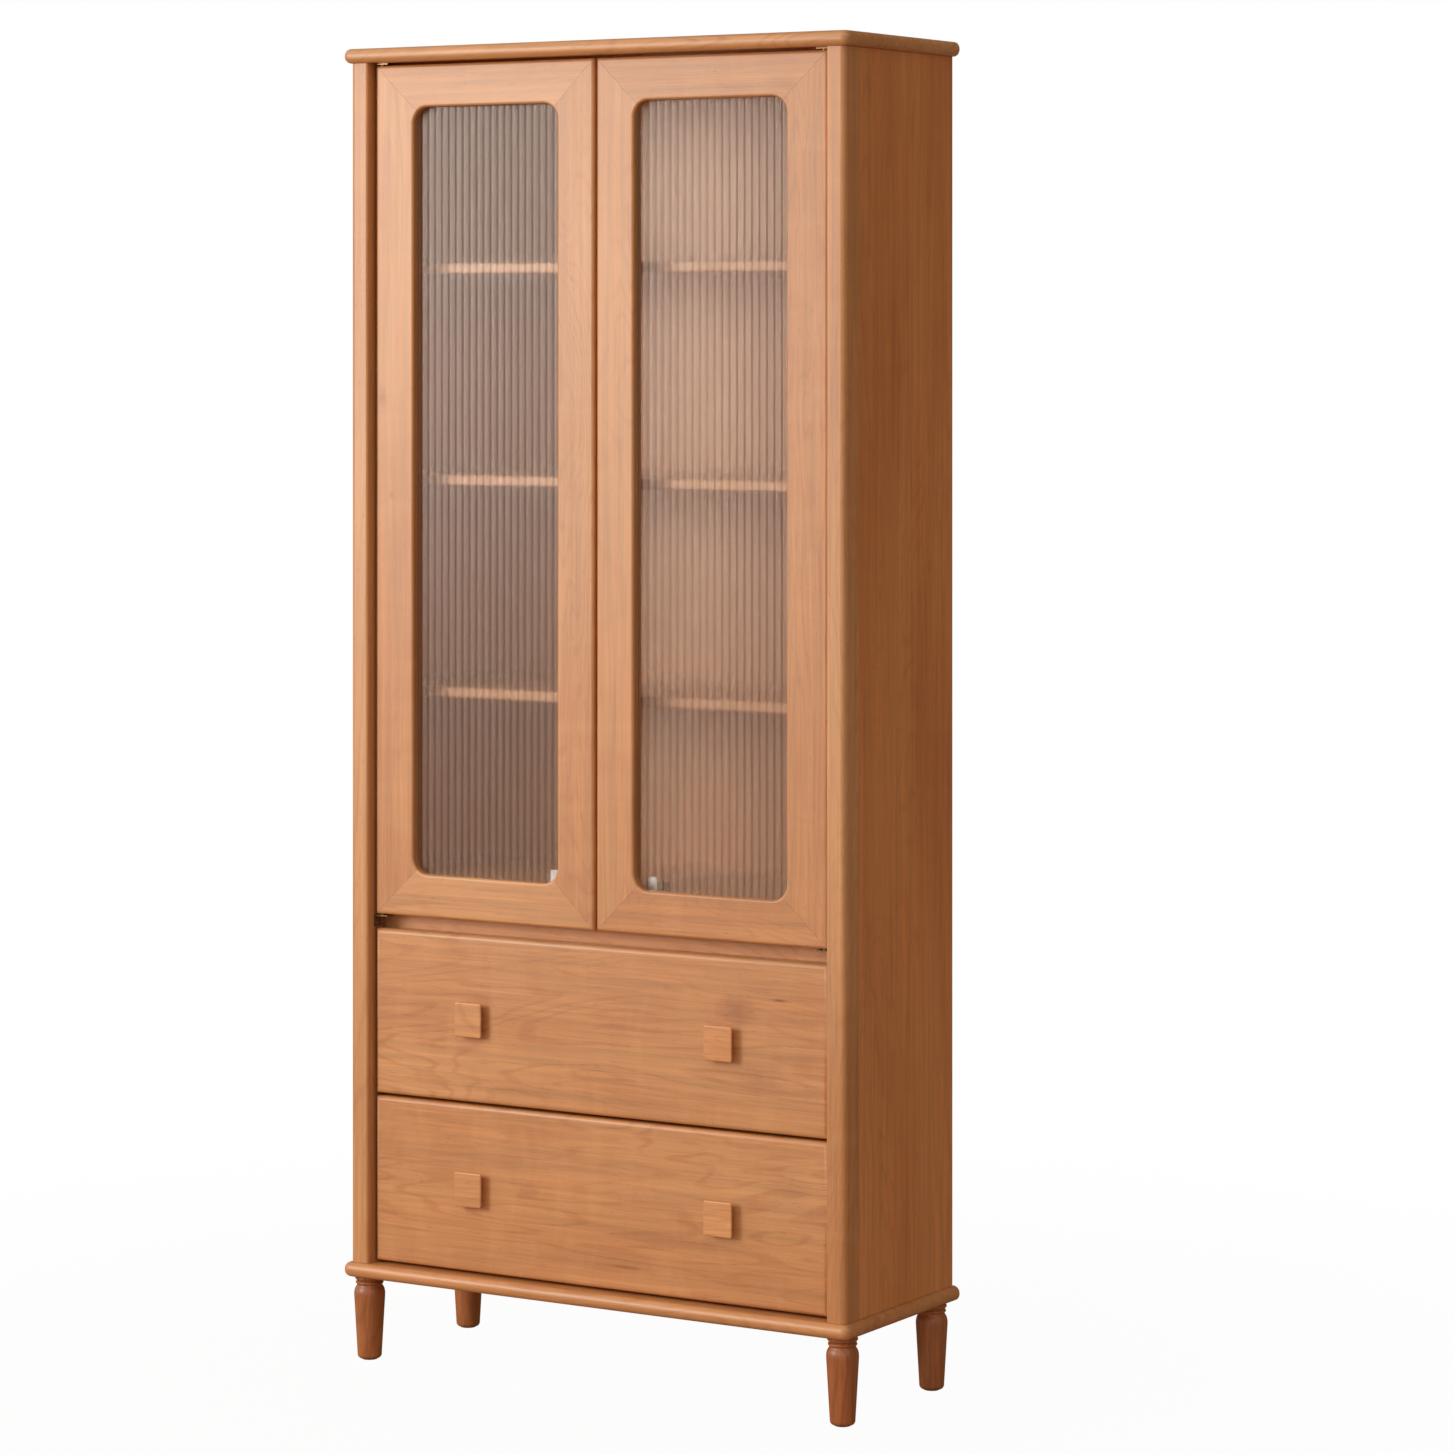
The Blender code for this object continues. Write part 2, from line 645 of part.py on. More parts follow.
def build():
    clear_scene()
    cherry = make_material("cherry", (0.56, 0.27, 0.12), 0.42)
    beech = make_material("drawer_wood", (0.64, 0.47, 0.29), 0.55)
    plywood = make_material("plywood", (0.52, 0.33, 0.18), 0.60)
    glass = make_material("reeded_glass", (0.80, 0.83, 0.80), 0.10, alpha=0.35, transmission=0.9)
    brass = make_material("pivot_brass", (0.68, 0.52, 0.28), 0.35, metallic=1.0)
    steel = make_material("zinc_steel", (0.66, 0.67, 0.70), 0.35, metallic=1.0)
    plastic = make_material("catch_plastic", (0.30, 0.19, 0.12), 0.50)
    make_carcass(cherry, plywood)
    make_door("left", -1, cherry, glass, brass, steel, plastic)
    make_door("right", 1, cherry, glass, brass, steel, plastic)
    make_drawer("lower", LOWER_DRAWER_Z, cherry, beech, plywood)
    make_drawer("upper", UPPER_DRAWER_Z, cherry, beech, plywood)
    shade_by_angle()


build()
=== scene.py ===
"""The looks of a tall china cabinet in cherry, with reeded-glass doors over two drawers."""

import math

import bmesh
import bpy
from mathutils import Matrix, Vector


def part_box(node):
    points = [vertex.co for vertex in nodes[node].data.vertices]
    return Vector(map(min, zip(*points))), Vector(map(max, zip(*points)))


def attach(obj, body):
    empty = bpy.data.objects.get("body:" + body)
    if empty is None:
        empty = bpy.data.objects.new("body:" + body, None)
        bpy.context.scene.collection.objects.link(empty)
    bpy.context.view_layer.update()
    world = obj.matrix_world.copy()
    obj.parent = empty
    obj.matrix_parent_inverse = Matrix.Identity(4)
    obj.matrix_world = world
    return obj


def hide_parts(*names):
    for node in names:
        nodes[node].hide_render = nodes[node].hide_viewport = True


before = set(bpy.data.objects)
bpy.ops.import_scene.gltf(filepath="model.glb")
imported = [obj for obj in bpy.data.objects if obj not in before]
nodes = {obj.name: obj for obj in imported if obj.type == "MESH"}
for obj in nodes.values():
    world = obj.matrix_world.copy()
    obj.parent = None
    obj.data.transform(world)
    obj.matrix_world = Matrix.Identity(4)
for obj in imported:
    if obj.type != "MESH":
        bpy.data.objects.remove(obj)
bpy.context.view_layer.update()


# The studio: a camera at eye height to the right of the cabinet's front, a pale floor that
# meets a white surround, a dim warm room behind, and one large soft box in front on the left.

CAMERA_PLACE = (3.7235, -5.8824, 1.5686)
CAMERA_TURN = 31.33
CAMERA_LENS = 114.37
CAMERA_SENSOR = 36.0
CAMERA_SHIFT = -0.2719
SOFT_BOX_PLACE = (-2.8, -3.75, 2.0)
SOFT_BOX_AIM = (0.0, 0.0, 1.15)
SOFT_BOX_SIZE = (1.6, 2.0)
SOFT_BOX_POWER = 106.0
SOFT_BOX_TINT = (1.0, 0.95, 0.88)

camera_data = bpy.data.cameras.new("camera")
camera_data.lens = CAMERA_LENS
camera_data.sensor_width = CAMERA_SENSOR
camera_data.shift_y = CAMERA_SHIFT
camera = bpy.data.objects.new("camera", camera_data)
camera.location = CAMERA_PLACE
camera.rotation_euler = (math.radians(90.0), 0.0, math.radians(CAMERA_TURN))
bpy.context.scene.collection.objects.link(camera)
bpy.context.scene.camera = camera
bpy.context.scene.view_settings.view_transform = "Standard"

light = bpy.data.lights.new("main_soft_box", "AREA")
light.shape = "RECTANGLE"
light.size, light.size_y = SOFT_BOX_SIZE
light.energy = SOFT_BOX_POWER
light.color = SOFT_BOX_TINT
soft_box = bpy.data.objects.new("main_soft_box", light)
soft_box.location = SOFT_BOX_PLACE
shine = Vector(SOFT_BOX_AIM) - Vector(SOFT_BOX_PLACE)
soft_box.rotation_euler = shine.to_track_quat("-Z", "Y").to_euler()
bpy.context.scene.collection.objects.link(soft_box)


def add_node(tree, kind, inputs=(), **settings):
    """One node of a tree. An input's value is a number, a colour or the socket that feeds it."""
    node = tree.nodes.new(kind)
    for name, value in settings.items():
        setattr(node, name, value)
    for name, value in dict(inputs).items():
        if isinstance(value, bpy.types.NodeSocket):
            tree.links.new(value, node.inputs[name])
        else:
            node.inputs[name].default_value = value
    return node


def stretched_noise(tree, vector, stretch, detail=2.0, roughness=0.5, distortion=0.0):
    """Noise with its own number of features in a metre along the grain and across it."""
    placed = add_node(tree, "ShaderNodeMapping", {"Vector": vector, "Scale": stretch})
    settings = {"Vector": placed.outputs[0], "Scale": 1.0, "Detail": detail}
    settings |= {"Roughness": roughness, "Distortion": distortion}
    return add_node(tree, "ShaderNodeTexNoise", settings).outputs["Fac"]


def remap(tree, value, low, high, to_low=0.0, to_high=1.0, smooth=True):
    settings = {"Value": value, "From Min": low, "From Max": high}
    settings |= {"To Min": to_low, "To Max": to_high}
    kind = "SMOOTHSTEP" if smooth else "LINEAR"
    return add_node(tree, "ShaderNodeMapRange", settings, interpolation_type=kind).outputs[0]


def maths(tree, operation, first, second=0.0):
    return add_node(tree, "ShaderNodeMath", {0: first, 1: second}, operation=operation).outputs[0]


def mix_colours(tree, factor, first, second):
    settings = {0: factor, 6: first, 7: second}
    return add_node(tree, "ShaderNodeMix", settings, data_type="RGBA").outputs[2]


# The room is brighter in front than behind. The camera itself sees plain white round it.
ROOM_FRONT = (-0.25, -0.97, 0.05)
ROOM_BRIGHT = (0.96, 0.93, 0.88, 1.0)
ROOM_DIM = (0.15, 0.10, 0.065, 1.0)
ROOM_CHANGE = (-0.75, 0.85)
BACKDROP_WHITE = (1.0, 1.0, 1.0, 1.0)
FLOOR_RADIUS = 60.0
FLOOR_BROWN = (0.42, 0.29, 0.19, 1.0)
FLOOR_ROUGHNESS = 0.9
FLOOR_SHINE = 0.1
FLOOR_WHITE_NEAR = 0.97
FLOOR_FADE = (0.3, 2.5)

world = bpy.data.worlds.new("surround")
world.use_nodes = True
bpy.context.scene.world = world
surround = world.node_tree
direction = add_node(surround, "ShaderNodeTexCoord").outputs["Generated"]
to_front = add_node(
    surround, "ShaderNodeVectorMath", {0: direction, 1: ROOM_FRONT}, operation="DOT_PRODUCT"
)
facing = remap(surround, to_front.outputs["Value"], *ROOM_CHANGE)
room = mix_colours(surround, facing, ROOM_DIM, ROOM_BRIGHT)
room_light = surround.nodes["Background"]
surround.links.new(room, room_light.inputs["Color"])
backdrop = add_node(surround, "ShaderNodeBackground", {"Color": BACKDROP_WHITE})
rays = add_node(surround, "ShaderNodeLightPath")
seen_or_lit = add_node(surround, "ShaderNodeMixShader", {0: rays.outputs["Is Camera Ray"]})
surround.links.new(room_light.outputs[0], seen_or_lit.inputs[1])
surround.links.new(backdrop.outputs[0], seen_or_lit.inputs[2])
surround.links.new(seen_or_lit.outputs[0], surround.nodes["World Output"].inputs[0])

floor_mesh = bpy.data.meshes.new("floor")
floor_bm = bmesh.new()
bmesh.ops.create_circle(floor_bm, cap_ends=True, radius=FLOOR_RADIUS, segments=64)
floor_bm.to_mesh(floor_mesh)
floor_bm.free()
floor = bpy.data.objects.new("floor", floor_mesh)
bpy.context.scene.collection.objects.link(floor)
floor_paint = bpy.data.materials.new("floor_paint")
floor_paint.use_nodes = True
floor_tree = floor_paint.node_tree
floor_shader = floor_tree.nodes["Principled BSDF"]
floor_shader.inputs["Base Color"].default_value = FLOOR_BROWN
floor_shader.inputs["Roughness"].default_value = FLOOR_ROUGHNESS
floor_shader.inputs["Specular IOR Level"].default_value = FLOOR_SHINE
floor_places = add_node(floor_tree, "ShaderNodeTexCoord").outputs["Object"]
floor_reach = add_node(floor_tree, "ShaderNodeVectorMath", {0: floor_places}, operation="LENGTH")
floor_fade = remap(floor_tree, floor_reach.outputs["Value"], *FLOOR_FADE, FLOOR_WHITE_NEAR, 1.0)
floor_rays = add_node(floor_tree, "ShaderNodeLightPath").outputs["Is Camera Ray"]
floor_share = maths(floor_tree, "MULTIPLY", floor_fade, floor_rays)
floor_glow = add_node(floor_tree, "ShaderNodeEmission", {"Color": BACKDROP_WHITE})
floor_mix = add_node(floor_tree, "ShaderNodeMixShader", {0: floor_share})
floor_tree.links.new(floor_shader.outputs[0], floor_mix.inputs[1])
floor_tree.links.new(floor_glow.outputs[0], floor_mix.inputs[2])
floor_tree.links.new(floor_mix.outputs[0], floor_tree.nodes["Material Output"].inputs["Surface"])
floor_mesh.materials.append(floor_paint)


# Cherry, the wood of all the outer faces: flat-sawn, reddish brown, with soft growth rings,
# fine fibres, short dark gum flecks and a few mineral streaks, under a satin lacquer. Each
# board has its own stretch of the same figure, turned to run along its grain.

CHERRY_HEART = (0.545, 0.218, 0.070, 1.0)
CHERRY_SAP = (0.63, 0.295, 0.112, 1.0)
CHERRY_RING = (0.42, 0.135, 0.038, 1.0)
CHERRY_GUM = (0.20, 0.050, 0.016, 1.0)
# How much of each mark a board has when nothing else is asked for.
USUAL_FIGURE = {"Rings": 0.42, "Ripple": 0.3, "Streaks": 0.3, "Tone": 1.0, "Depth": 1.0}
# The marks' numbers in a metre, along the grain and across it both ways.
RING_BENDS = (0.8, 4.6, 4.6)
RING_PATCHES = (1.3, 9.0, 9.0)
SAP_BANDS = (0.9, 5.5, 5.5)
RIPPLES = (20.0, 7.5, 7.5)
FIBRES = (7.0, 420.0, 420.0)
GRAIN_LINES = (2.6, 95.0, 95.0)
GUM_FLECKS = (75.0, 620.0, 620.0)
STREAK_LINES = (2.4, 42.0, 42.0)
STREAK_PATCHES = (2.1, 6.0, 6.0)
RING_COUNT = 250.0
FLECK_STRENGTH = 0.30
FIBRE_SHADES = (-0.12, 0.12)
LINE_SHADES = (-0.16, 0.12)
LACQUER_ROUGHNESS = (0.38, 0.50)
COAT_WEIGHT = 0.6
COAT_ROUGHNESS = 0.40
PORE_STRENGTH = 0.22
PORE_DEPTH = 0.0004

figure = bpy.data.node_groups.new("cherry_figure", "ShaderNodeTree")
figure.interface.new_socket("Vector", in_out="INPUT", socket_type="NodeSocketVector")
for title, usual in USUAL_FIGURE.items():
    socket = figure.interface.new_socket(title, in_out="INPUT", socket_type="NodeSocketFloat")
    socket.default_value = usual
figure.interface.new_socket("Color", in_out="OUTPUT", socket_type="NodeSocketColor")
figure.interface.new_socket("Roughness", in_out="OUTPUT", socket_type="NodeSocketFloat")
figure.interface.new_socket("Height", in_out="OUTPUT", socket_type="NodeSocketFloat")
given = figure.nodes.new("NodeGroupInput").outputs
along = given["Vector"]
ring_field = stretched_noise(figure, along, RING_BENDS, 3.5, 0.5, 0.5)
ring_wave = maths(figure, "SINE", maths(figure, "MULTIPLY", ring_field, RING_COUNT))
ring_lines = remap(figure, ring_wave, 0.25, 1.0)
ring_patches = stretched_noise(figure, along, RING_PATCHES, 1.0)
ring_mask = remap(figure, ring_patches, 0.32, 0.68, 0.25, 1.0)
ring_share = maths(figure, "MULTIPLY", ring_lines, ring_mask)
rings = maths(figure, "MULTIPLY", ring_share, given["Rings"])
broad = remap(figure, stretched_noise(figure, along, SAP_BANDS, 2.0), 0.3, 0.7)
ripple_field = stretched_noise(figure, along, RIPPLES, 2.5, 0.55, 0.6)
ripple = maths(figure, "MULTIPLY", remap(figure, ripple_field, 0.42, 0.68), given["Ripple"])
fibres = stretched_noise(figure, along, FIBRES, 3.0, 0.65)
grain_lines = stretched_noise(figure, along, GRAIN_LINES, 3.0, 0.6)
flecks = remap(figure, stretched_noise(figure, along, GUM_FLECKS, 1.0), 0.68, 0.76)
streak_lines = remap(figure, stretched_noise(figure, along, STREAK_LINES, 3.0, 0.55, 1.1), 0.62, 0.70)
streak_mask = remap(figure, stretched_noise(figure, along, STREAK_PATCHES, 1.0), 0.56, 0.66)
streak_share = maths(figure, "MULTIPLY", streak_lines, streak_mask)
streaks = maths(figure, "MULTIPLY", streak_share, given["Streaks"])
colour = mix_colours(figure, broad, CHERRY_HEART, CHERRY_SAP)
colour = mix_colours(figure, rings, colour, CHERRY_RING)
colour = mix_colours(figure, ripple, colour, CHERRY_SAP)
dark_marks = maths(figure, "ADD", maths(figure, "MULTIPLY", flecks, FLECK_STRENGTH), streaks)
colour = mix_colours(figure, dark_marks, colour, CHERRY_GUM)
fibre_shade = remap(figure, fibres, 0.25, 0.75, *FIBRE_SHADES, smooth=False)
line_shade = remap(figure, grain_lines, 0.28, 0.72, *LINE_SHADES, smooth=False)
shade = maths(figure, "ADD", line_shade, maths(figure, "ADD", fibre_shade, given["Tone"]))
shaded = add_node(figure, "ShaderNodeVectorMath", {0: colour, "Scale": shade}, operation="SCALE")
deepened = add_node(figure, "ShaderNodeGamma", {"Color": shaded.outputs[0], "Gamma": given["Depth"]})
rough = remap(figure, fibres, 0.2, 0.8, *LACQUER_ROUGHNESS, smooth=False)
height = maths(figure, "SUBTRACT", maths(figure, "MULTIPLY", fibres, 0.5), flecks)
wood_out = figure.nodes.new("NodeGroupOutput").inputs
figure.links.new(deepened.outputs[0], wood_out["Color"])
figure.links.new(rough, wood_out["Roughness"])
figure.links.new(height, wood_out["Height"])

# The turn that brings each way of the grain onto the figure's own length.
GRAIN_TURNS = {"X": (0.0, 0.0, 0.0), "Y": (0.0, 0.0, -math.pi / 2), "Z": (0.0, math.pi / 2, 0.0)}
# How ragged a knot's edge is: its bumps in a metre along X, Y and Z.
MARK_RAGS = (45.0, 45.0, 150.0)


def cherry(name, grain, shift, marks=(), **wanted):
    """A lacquered cherry board's material. The shift picks its stretch of the figure, and
    each mark is a knot or a dark streak of its own: (place, reach along X and Z, strength)."""
    material = bpy.data.materials.new(name)
    material.use_nodes = True
    tree = material.node_tree
    shader = tree.nodes["Principled BSDF"]
    places = add_node(tree, "ShaderNodeTexCoord").outputs["Object"]
    placing = {"Vector": places, "Rotation": GRAIN_TURNS[grain], "Location": shift}
    placed = add_node(tree, "ShaderNodeMapping", placing)
    wood = add_node(tree, "ShaderNodeGroup", node_tree=figure)
    tree.links.new(placed.outputs[0], wood.inputs["Vector"])
    for title, value in wanted.items():
        wood.inputs[title.title()].default_value = value
    relief = add_node(tree, "ShaderNodeBump", {"Strength": PORE_STRENGTH, "Distance": PORE_DEPTH})
    tree.links.new(wood.outputs["Height"], relief.inputs["Height"])
    colour = wood.outputs["Color"]
    for (x, z), (reach_x, reach_z), strength in marks:
        centring = {"Vector": places, "Location": (-x / reach_x, 0.0, -z / reach_z)}
        centring["Scale"] = (1 / reach_x, 0.0, 1 / reach_z)
        spot = add_node(tree, "ShaderNodeMapping", centring).outputs[0]
        far = add_node(tree, "ShaderNodeVectorMath", {0: spot}, operation="LENGTH").outputs["Value"]
        wobble = stretched_noise(tree, places, MARK_RAGS, 3.0, 0.6)
        edge = maths(tree, "ADD", far, maths(tree, "MULTIPLY", wobble, 0.9))
        colour = mix_colours(tree, remap(tree, edge, 1.3, 0.35, 0.0, strength), colour, CHERRY_GUM)
    tree.links.new(colour, shader.inputs["Base Color"])
    tree.links.new(wood.outputs["Roughness"], shader.inputs["Roughness"])
    tree.links.new(relief.outputs[0], shader.inputs["Normal"])
    shader.inputs["Coat Weight"].default_value = COAT_WEIGHT
    shader.inputs["Coat Roughness"].default_value = COAT_ROUGHNESS
    return material


# The top and base panels: solid boards whose front and side edges are turned to a half
# round, with the front corners rounded too. The rear edge is square, to stand at a wall.

ARRIS = 0.0008
SHARP_ANGLE = 1.2
CREASE_DEGREES = 50.0


def block_between(low, high):
    bm = bmesh.new()
    bmesh.ops.create_cube(bm, size=1.0)
    low, high = Vector(low), Vector(high)
    bmesh.ops.scale(bm, vec=high - low, verts=bm.verts)
    bmesh.ops.translate(bm, vec=(low + high) / 2, verts=bm.verts)
    return bm


def edges_at(bm, *sides):
    """A block's edges named by side: (0, -1, 1) is the one along X at the front and the top."""
    low = Vector([min(vert.co[i] for vert in bm.verts) for i in range(3)])
    high = Vector([max(vert.co[i] for vert in bm.verts) for i in range(3)])
    found = []
    for edge in bm.edges:
        middle = (edge.verts[0].co + edge.verts[1].co) / 2
        spots = [(middle[i] - low[i]) / (high[i] - low[i]) for i in range(3)]
        if tuple(round(2 * spot) - 1 for spot in spots) in sides:
            found.append(edge)
    return found


def round_over(bm, edges, radius, segments=6):
    edges = [edge for edge in edges if edge.is_valid]
    bmesh.ops.bevel(bm, geom=edges, offset=radius, segments=segments, profile=0.5, affect="EDGES")


def sharp_edges(bm):
    return [edge for edge in bm.edges if edge.calc_face_angle(0.0) > SHARP_ANGLE]


def settle(piece):
    """Applies a piece's modifiers to its mesh."""
    graph = bpy.context.evaluated_depsgraph_get()
    mesh = bpy.data.meshes.new_from_object(piece.evaluated_get(graph))
    piece.modifiers.clear()
    piece.data = mesh
    mesh.name = piece.name
    return piece


def cut_by(piece, cutters):
    for cutter in cutters:
        cut = piece.modifiers.new("cut", "BOOLEAN")
        cut.operation = "DIFFERENCE"
        cut.solver = "EXACT"
        cut.object = cutter
    return settle(piece)


def finished(name, bm, material, cutters=()):
    """A wooden or metal piece with its flats shaded flat and its rounds smooth."""
    bm.normal_update()
    bmesh.ops.recalc_face_normals(bm, faces=bm.faces)
    mesh = bpy.data.meshes.new(name)
    bm.to_mesh(mesh)
    bm.free()
    mesh.materials.append(material)
    mesh.shade_smooth()
    piece = bpy.data.objects.new(name, mesh)
    bpy.context.scene.collection.objects.link(piece)
    cut_by(piece, cutters)
    piece.data.set_sharp_from_angle(angle=math.radians(CREASE_DEGREES))
    flats = piece.modifiers.new("flats", "WEIGHTED_NORMAL")
    flats.mode = "FACE_AREA"
    flats.weight = 100
    flats.keep_sharp = True
    return settle(piece)


def fit(piece, body, slot, *stands_for):
    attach(piece, body)
    if stands_for:
        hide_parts(*stands_for)
    return piece


def repaint(node, material):
    nodes[node].data.materials.clear()
    nodes[node].data.materials.append(material)


SLAB_CORNER = 0.013
SLAB_NOSE = 0.0102

for node, shift in (("top_panel", (0.3, 0.1, 0.2)), ("base_panel", (1.7, 0.8, 0.5))):
    low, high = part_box(node)
    bm = block_between(low, high)
    round_over(bm, edges_at(bm, (1, -1, 0), (-1, -1, 0)), SLAB_CORNER, 10)
    rim = [e for e in bm.edges if abs(e.verts[0].co.z - e.verts[1].co.z) < ARRIS / 10]
    rim = [e for e in rim if min(e.verts[0].co.y, e.verts[1].co.y) < high.y - ARRIS / 10]
    round_over(bm, rim, SLAB_NOSE, 8)
    piece = finished(f"{node}_board", bm, cherry(f"{node}_cherry", "X", shift, tone=1.02))
    fit(piece, "carcass", "cherry", node)


# The front posts: solid uprights in front of the side panels, with a large round on the
# outer front edge and a smaller one towards the doors.

POST_OUTER_ROUND = 0.0088
POST_INNER_ROUND = 0.0045

for name, side in (("left", -1), ("right", 1)):
    node = f"front_{name}_post"
    bm = block_between(*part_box(node))
    outer = edges_at(bm, (side, -1, 0))
    inner = edges_at(bm, (-side, -1, 0))
    round_over(bm, outer, POST_OUTER_ROUND, 8)
    round_over(bm, inner, POST_INNER_ROUND, 6)
    wood = cherry(f"{node}_cherry", "Z", (0.4 + side, 0.37 * side, 0.9), rings=0.25, streaks=0.15)
    fit(finished(f"{node}_upright", bm, wood), "carcass", "cherry", node)


# The side panels, the compartment's floor and the rail over the drawers: veneered boards
# with square edges. Their solids have the right shape, so only their wood is laid on here.

# Painted light: the side panels' cherry gets a stronger tone and a redder, deeper colour than the front's,
# standing in for the fill light and shaded look of the sides.
SIDE_FIGURE_AND_PAINTED_LIGHT = {"rings": 0.2, "streaks": 0.2, "ripple": 0.16, "tone": 1.24, "depth": 1.24}
BACK_FIGURE = {"rings": 0.14, "ripple": 0.06, "tone": 1.05}

for name, side in (("left", -1), ("right", 1)):
    wood = cherry(f"{name}_side_cherry", "Z", (2.2 * side, 0.6, 0.31), **SIDE_FIGURE_AND_PAINTED_LIGHT)
    repaint(f"{name}_side_panel", wood)

repaint("middle_panel", cherry("middle_panel_cherry", "X", (0.9, 2.3, 0.4), tone=0.96))
# Painted light: the recessed rail over the drawers gets a much stronger tone than the other boards,
# standing in for light reaching into its slot.
repaint("front_rail", cherry("front_rail_cherry", "X", (3.1, 0.3, 1.2), tone=1.3))
repaint("back_panel", cherry("back_panel_cherry", "Z", (5.2, 1.3, 0.2), **BACK_FIGURE))


# The legs: turned from solid cherry, with a collar, a neck groove and a bead under it, a
# shoulder and a long straight taper down to a rounded foot that stands on a felt pad.

PAD_THICK = 0.0015
PAD_RADIUS = 0.0115
FELT_DARK = (0.10, 0.07, 0.05, 1.0)
FELT_LIGHT = (0.22, 0.17, 0.13, 1.0)
FELT_FUZZ = (1800.0, 1800.0, 1800.0)
FELT_ROUGHNESS = 0.95
WELD = 0.00001
TURNED_CREASE_DEGREES = 38.0
LEG_FIGURE = {"rings": 0.5, "tone": 0.92, "depth": 1.45}


def arc_points(centre, radius, start, end, steps):
    """Points on a round stretch of a turned profile, between two angles in degrees."""
    r, z = centre
    points = []
    for step in range(steps + 1):
        angle = math.radians(start + (end - start) * step / steps)
        points.append((r + radius * math.cos(angle), z + radius * math.sin(angle)))
    return points


def turned(name, profile, place, material, steps=64):
    """Turns a profile of (radius, height) points, given from the top down, about an upright."""
    mesh = bpy.data.meshes.new(name)
    links = [(i, i + 1) for i in range(len(profile) - 1)]
    mesh.from_pydata([(r, 0.0, h) for r, h in profile], links, [])
    piece = bpy.data.objects.new(name, mesh)
    bpy.context.scene.collection.objects.link(piece)
    screw = piece.modifiers.new("turning", "SCREW")
    screw.steps = steps
    screw.render_steps = steps
    screw.use_merge_vertices = True
    screw.merge_threshold = WELD
    settle(piece)
    bm = bmesh.new()
    bm.from_mesh(piece.data)
    bmesh.ops.translate(bm, vec=place, verts=bm.verts)
    bmesh.ops.remove_doubles(bm, verts=bm.verts, dist=WELD)
    bmesh.ops.recalc_face_normals(bm, faces=bm.faces)
    bm.to_mesh(piece.data)
    bm.free()
    piece.data.materials.append(material)
    piece.data.shade_smooth()
    piece.data.set_sharp_from_angle(angle=math.radians(TURNED_CREASE_DEGREES))
    return piece


def leg_profile(top):
    collar = [(0.0, top), (0.0212, top), *arc_points((0.0204, top - 0.0030), 0.0021, 60, -60, 6)]
    neck = [(0.0206, top - 0.0062), (0.0194, top - 0.0072), (0.0192, top - 0.0082)]
    bead = arc_points((0.0192, top - 0.0104), 0.0021, 80, -80, 6)
    groove = [(0.0193, top - 0.0130), (0.0194, top - 0.0144)]
    shoulder = [(0.0203, top - 0.0160), (0.0217, top - 0.0182), (0.0228, top - 0.0208)]
    shoulder += [(0.0234, top - 0.0238), (0.0237, top - 0.0268), (0.0236, top - 0.0310)]
    foot = arc_points((0.0122, 0.0075), 0.0063, 4, -86, 8)
    return collar + neck + bead + groove + shoulder + foot + [(0.0, foot[-1][1])]


felt = bpy.data.materials.new("felt")
felt.use_nodes = True
felt_tree = felt.node_tree
felt_shader = felt_tree.nodes["Principled BSDF"]
felt_places = add_node(felt_tree, "ShaderNodeTexCoord").outputs["Object"]
felt_fuzz = stretched_noise(felt_tree, felt_places, FELT_FUZZ, 4.0, 0.7)
felt_colour = mix_colours(felt_tree, felt_fuzz, FELT_DARK, FELT_LIGHT)
felt_tree.links.new(felt_colour, felt_shader.inputs["Base Color"])
felt_shader.inputs["Roughness"].default_value = FELT_ROUGHNESS

for number, corner in enumerate(("front_left", "front_right", "rear_left", "rear_right")):
    node = f"{corner}_leg"
    low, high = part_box(node)
    axis = Vector(((low.x + high.x) / 2, (low.y + high.y) / 2, 0.0))
    profile = [(r, max(z, PAD_THICK)) for r, z in leg_profile(high.z)]
    wood = cherry(f"{node}_cherry", "Z", (0.7 + number, 1.1 * number, 0.45), **LEG_FIGURE)
    fit(turned(f"{node}_turning", profile, axis, wood), "carcass", "cherry", node)
    pad_profile = [(0.0, PAD_THICK), (PAD_RADIUS, PAD_THICK), (PAD_RADIUS, 0.0), (0.0, 0.0)]
    pad = turned(f"{node}_pad", pad_profile, axis, felt, 48)
    fit(pad, "carcass", "cherry")


# The shelves: three cherry boards behind the glass, rounded a little at the front, each on
# four steel pins that plug into the side panels.

SHELF_ROUND = 0.003

for number, name in enumerate(("lower", "middle", "upper")):
    node = f"{name}_shelf"
    bm = block_between(*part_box(node))
    round_over(bm, edges_at(bm, (0, -1, 1), (0, -1, -1)), SHELF_ROUND, 5)
    wood = cherry(f"{node}_cherry", "X", (1.3 * number, 0.7 * number, 0.8), tone=1.04)
    fit(finished(f"{node}_board", bm, wood), "carcass", "cherry", node)


ZINC_GREY = (0.62, 0.63, 0.66, 1.0)
METAL_CLOUDS = (160.0, 160.0, 900.0)
METAL_DULL = 0.82
METAL_SCRATCH = 0.06


def metal(name, colour, roughness):
    """Plain metal with a faint uneven polish."""
    material = bpy.data.materials.new(name)
    material.use_nodes = True
    tree = material.node_tree
    shader = tree.nodes["Principled BSDF"]
    places = add_node(tree, "ShaderNodeTexCoord").outputs["Object"]
    cloud = stretched_noise(tree, places, METAL_CLOUDS, 3.0, 0.6)
    worn = mix_colours(tree, cloud, [METAL_DULL * c for c in colour[:3]] + [1.0], colour)
    tree.links.new(worn, shader.inputs["Base Color"])
    polish = remap(tree, cloud, 0.3, 0.7, roughness - METAL_SCRATCH, roughness + METAL_SCRATCH)
    tree.links.new(polish, shader.inputs["Roughness"])
    shader.inputs["Metallic"].default_value = 1.0
    return material


steel = metal("zinc_plated_steel", ZINC_GREY, roughness=0.34)


